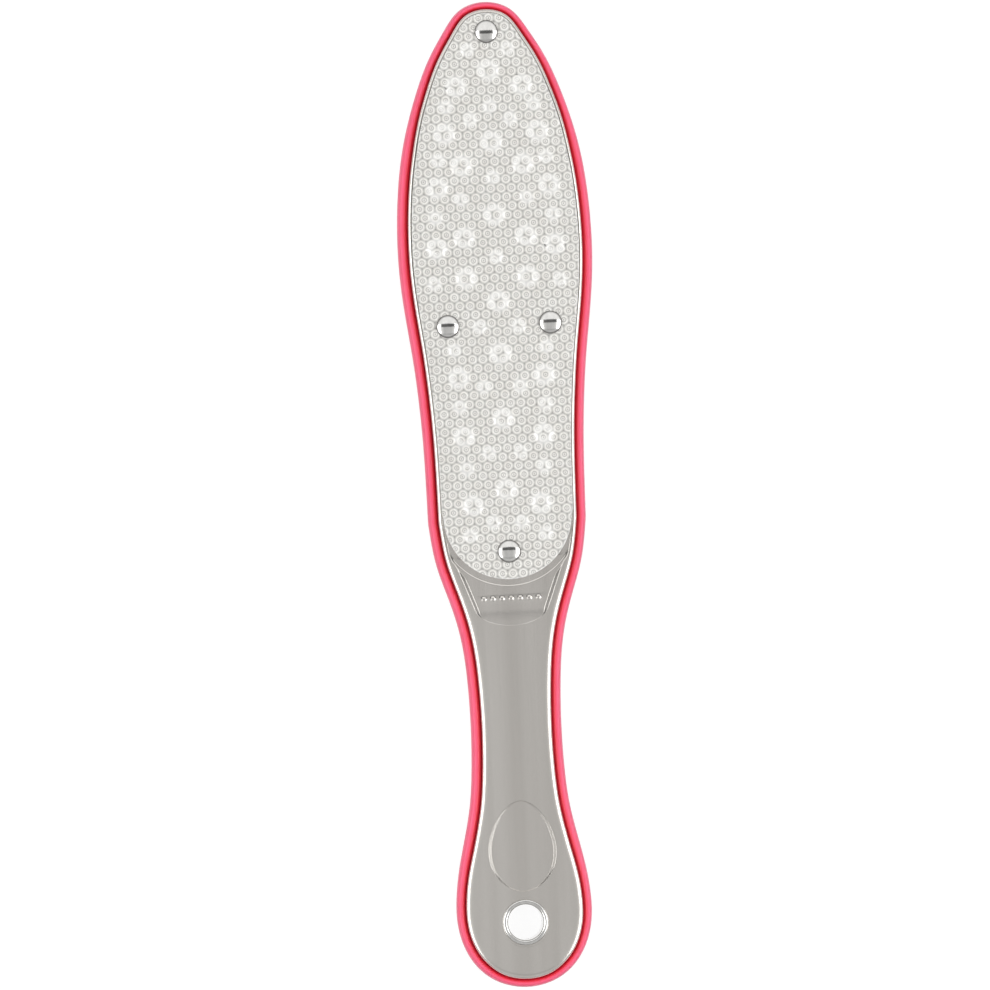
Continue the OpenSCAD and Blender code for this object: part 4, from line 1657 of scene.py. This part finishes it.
@dataclass(frozen=True)
class Studio:
    """White floor, grey cards overhead, three soft boxes and the camera of the photograph."""

    lean: float = 2.55
    centre_x: float = -3.0
    picture_w: float = 260.3
    picture_h: float = 7.0
    camera_h: float = 3000.0
    camera_off: float = 200.0
    camera_reach: float = 50.0
    sensor_w: float = 36.0
    floor_w: float = 12.0
    card_h: float = 0.52
    card_x: float = 0.44
    left_share: float = 0.8
    card_down: float = 0.34
    card_up: float = 0.035
    card_tone: float = 0.61
    card_edge_tone: float = 0.95
    strip_up: float = 0.2
    strip_tone: float = 0.13
    top_x: float = 1.2
    top_up: float = 1.3
    top_tone: float = 1.05
    low_down: float = 0.5
    low_tone: float = 0.48
    low_edge_tone: float = 0.6
    far_x: float = 2.6
    far_down: float = 2.6
    far_tone: float = 0.65
    wall_r: float = 2.7
    wall_h: float = 0.5
    wall_sides: int = 48
    wall_tone: float = 0.02
    ambient: float = 1.0
    lamp_tone: float = 2.8
    lamp_size: tuple = (2.2, 0.75)
    lamp_h: float = 1.05
    lamp_x: float = 1.35
    lamp_y: float = 1.45
    floor_white: float = 0.2
    floor_roughness: float = 0.9
    floor_lift: float = 0.88

    def camera(self) -> None:
        """Camera above the file and a little to its left, turned so that the tip leans.

        It looks at the middle of the picture.
        """
        data = bpy.data.cameras.new("camera")
        data.sensor_width = self.sensor_w
        data.lens = self.camera_h * self.sensor_w / self.picture_w
        data.clip_end = self.camera_reach
        piece = bpy.data.objects.new("camera", data)
        turn = -math.radians(self.lean)
        place = (self.centre_x - self.camera_off * math.cos(turn), -self.camera_off * math.sin(turn))
        piece.location = Vector((*place, self.camera_h + self.picture_h)) * MM
        piece.rotation_euler = (0.0, -math.atan(self.camera_off / self.camera_h), turn)
        bpy.context.scene.collection.objects.link(piece)
        bpy.context.scene.camera = piece

    def staged(self, name: str, points: list, faces: list) -> bpy.types.Object:
        """A mesh object that belongs to the studio.

        Args:
            name: Name of the object.
            points: Its points, in metres.
            faces: The points of each face.
        Returns:
            The new object.
        """
        mesh = bpy.data.meshes.new(name)
        mesh.from_pydata(points, [], faces)
        piece = bpy.data.objects.new(name, mesh)
        bpy.context.scene.collection.objects.link(piece)
        return piece

    def sheet(self, name: str, low: tuple, high: tuple, height: float) -> bpy.types.Object:
        """A flat rectangle that belongs to the studio.

        Args:
            name: Name of the object.
            low: Lowest X and Y, in metres.
            high: Highest X and Y, in metres.
            height: Its height, in metres.
        Returns:
            The new object.
        """
        corners = [(low[0], low[1], height), (high[0], low[1], height), (high[0], high[1], height),
                   (low[0], high[1], height)]
        return self.staged(name, corners, [(0, 1, 2, 3)])

    def seen_directly(self, tree: bpy.types.NodeTree) -> bpy.types.NodeSocket:
        """One where a ray comes from the camera, a reflection or glass, and nought elsewhere.

        Args:
            tree: Node tree that gets the nodes.
        Returns:
            The one or nought.
        """
        path = tree.nodes.new("ShaderNodeLightPath")
        total = path.outputs["Is Camera Ray"]
        for other in ("Is Glossy Ray", "Is Transmission Ray"):
            total = calculated(tree, "MAXIMUM", total, path.outputs[other])
        return total

    def floor(self) -> None:
        """White floor that keeps the shadow and looks white to the camera."""
        half = self.floor_w / 2
        piece = self.sheet("floor", (-half, -half), (half, half), 0.0)
        material, tree, shader = blank_material("floor_white")
        shader.inputs["Base Color"].default_value = (self.floor_white,) * 3 + (1.0,)
        shader.inputs["Roughness"].default_value = self.floor_roughness
        shader.inputs["Specular IOR Level"].default_value = 0.0
        shader.inputs["Emission Color"].default_value = (1.0, 1.0, 1.0, 1.0)
        glow = calculated(tree, "MULTIPLY", self.seen_directly(tree), self.floor_lift)
        tree.links.new(glow, shader.inputs["Emission Strength"])
        piece.data.materials.append(material)

    def card(self, name: str, low: tuple, high: tuple, tone: float, edge_tone: float) -> None:
        """A glowing grey card over the file, which the steel mirrors.

        Args:
            name: Name of the card.
            low: Lowest X and Y, in metres.
            high: Highest X and Y, in metres.
            tone: Its brightness over its middle third.
            edge_tone: Its brightness at its right edge.
        """
        piece = self.sheet(name, low, high, self.card_h)
        piece.visible_camera = False
        material = bpy.data.materials.new(name)
        material.use_nodes = True
        tree = material.node_tree
        tree.nodes.clear()
        place = tree.nodes.new("ShaderNodeTexCoord")
        split = tree.nodes.new("ShaderNodeSeparateXYZ")
        tree.links.new(place.outputs["Object"], split.inputs["Vector"])
        across = calculated(tree, "ABSOLUTE", split.outputs["X"])
        level = spread(tree, across, tone, edge_tone, high[0] / 3, high[0], "SMOOTHSTEP")
        glow = tree.nodes.new("ShaderNodeEmission")
        out = tree.nodes.new("ShaderNodeOutputMaterial")
        tree.links.new(level, glow.inputs["Strength"])
        tree.links.new(glow.outputs["Emission"], out.inputs["Surface"])
        piece.data.materials.append(material)

    def cards(self) -> None:
        """The cards side by side, from beyond the tip to beyond the butt end."""
        strips = (
            ("top_card", self.top_x, self.strip_up, self.top_up, self.top_tone, self.top_tone),
            ("dark_strip", self.card_x, self.card_up, self.strip_up, self.strip_tone, self.strip_tone),
            ("near_card", self.card_x, -self.card_down, self.card_up, self.card_tone, self.card_edge_tone),
            ("low_card", self.card_x, -self.low_down, -self.card_down, self.low_tone, self.low_edge_tone),
            ("far_card", self.far_x, -self.far_down, -self.low_down, self.far_tone, self.far_tone),
        )
        for name, half, low, high, tone, edge_tone in strips:
            self.card(name, (-half * self.left_share, low), (half, high), tone, edge_tone)

    def wall(self) -> None:
        """Low black wall all round, which gives the polished steel its dark outline."""
        round_it = circle(np.zeros(2), self.wall_r, self.wall_sides)
        points = np.vstack([at_height(round_it, height) for height in (0.0, self.wall_h)])
        start = np.arange(self.wall_sides)
        after = np.roll(start, -1)
        faces = np.stack([start, after, after + self.wall_sides, start + self.wall_sides], axis=1)
        piece = self.staged("wall", points.tolist(), faces.tolist())
        piece.visible_camera = False
        material, _, shader = blank_material("wall_black")
        shader.inputs["Base Color"].default_value = (self.wall_tone,) * 3 + (1.0,)
        piece.data.materials.append(material)

    def lamp(self, name: str, place: tuple) -> None:
        """A soft box that looks at the file. Its power gives the lamp's tone over its area.

        Args:
            name: Name of the lamp.
            place: Its place, in metres.
        """
        data = bpy.data.lights.new(name, "AREA")
        data.shape = "RECTANGLE"
        width, height = self.lamp_size
        data.size, data.size_y = width, height
        data.energy = self.lamp_tone * math.pi * width * height
        piece = bpy.data.objects.new(name, data)
        piece.location = place
        piece.rotation_euler = (-Vector(place)).to_track_quat("-Z", "Y").to_euler()
        piece.visible_camera = False
        bpy.context.scene.collection.objects.link(piece)

    def world(self) -> None:
        """Even light from all round, which looks white to the camera and in reflections."""
        world = bpy.data.worlds.new("studio")
        world.use_nodes = True
        tree = world.node_tree
        back = tree.nodes["Background"]
        back.inputs["Color"].default_value = (1.0, 1.0, 1.0, 1.0)
        level = spread(tree, self.seen_directly(tree), self.ambient, 1.0, 0.0, 1.0)
        tree.links.new(level, back.inputs["Strength"])
        bpy.context.scene.world = world

    def build(self) -> None:
        """Sets up the whole studio."""
        self.camera()
        self.floor()
        self.cards()
        self.wall()
        self.world()
        self.lamp("left_box", (-self.lamp_x, 0.0, self.lamp_h))
        self.lamp("right_box", (self.lamp_x, 0.0, self.lamp_h))
        self.lamp("tip_box", (0.0, self.lamp_y, self.lamp_h))
        bpy.context.scene.view_settings.view_transform = "Standard"


def main() -> None:
    """Builds the studio and the file, from the pans to the rivets."""
    logging.basicConfig(level=logging.INFO, format="%(name)s: %(message)s")
    Studio().build()
    outline = Outline()
    front = Pan(Side.COARSE, outline)
    back = Pan(Side.FINE, outline)
    eyelet = Eyelet(outline, front.face_h)
    rivets = [Rivet(place, outline) for place in ("tip", "left", "right", "heel")]
    coarse = Plate(
        Side.COARSE, outline, pitch=2.722, row_gap=2.361, phase=(0.75, 35.88), cutter_h=0.16,
        ring_radii=(0.0, 0.36, 0.6, 0.85, 1.6), ring_heights=(0.35, 0.75, 0.45, 1.0, 0.0),
        bossed=True, seed=11)
    fine = Plate(
        Side.FINE, outline, pitch=2.1, row_gap=1.82, phase=(0.0, 35.88), cutter_h=0.13,
        ring_radii=(0.0, 0.4, 0.72, 1.22), ring_heights=(0.4, 0.4, 1.0, 0.0),
        bossed=False, seed=12)
    steel, abrasive, polish = SatinSteel(), AbrasiveSteel(), PolishedSteel()
    for pan in (front, back):
        pan.build(eyelet, rivets, steel)
    for plate in (coarse, fine):
        plate.build(rivets, abrasive)
    Rim(outline).build(SoftRim())
    eyelet.build(polish)
    for rivet in rivets:
        rivet.build(coarse.levels[1], polish)
    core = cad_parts["core"]
    core.data.materials.clear()
    core.data.materials.append(CorePlastic().material())


if __name__ == "__main__":
    main()
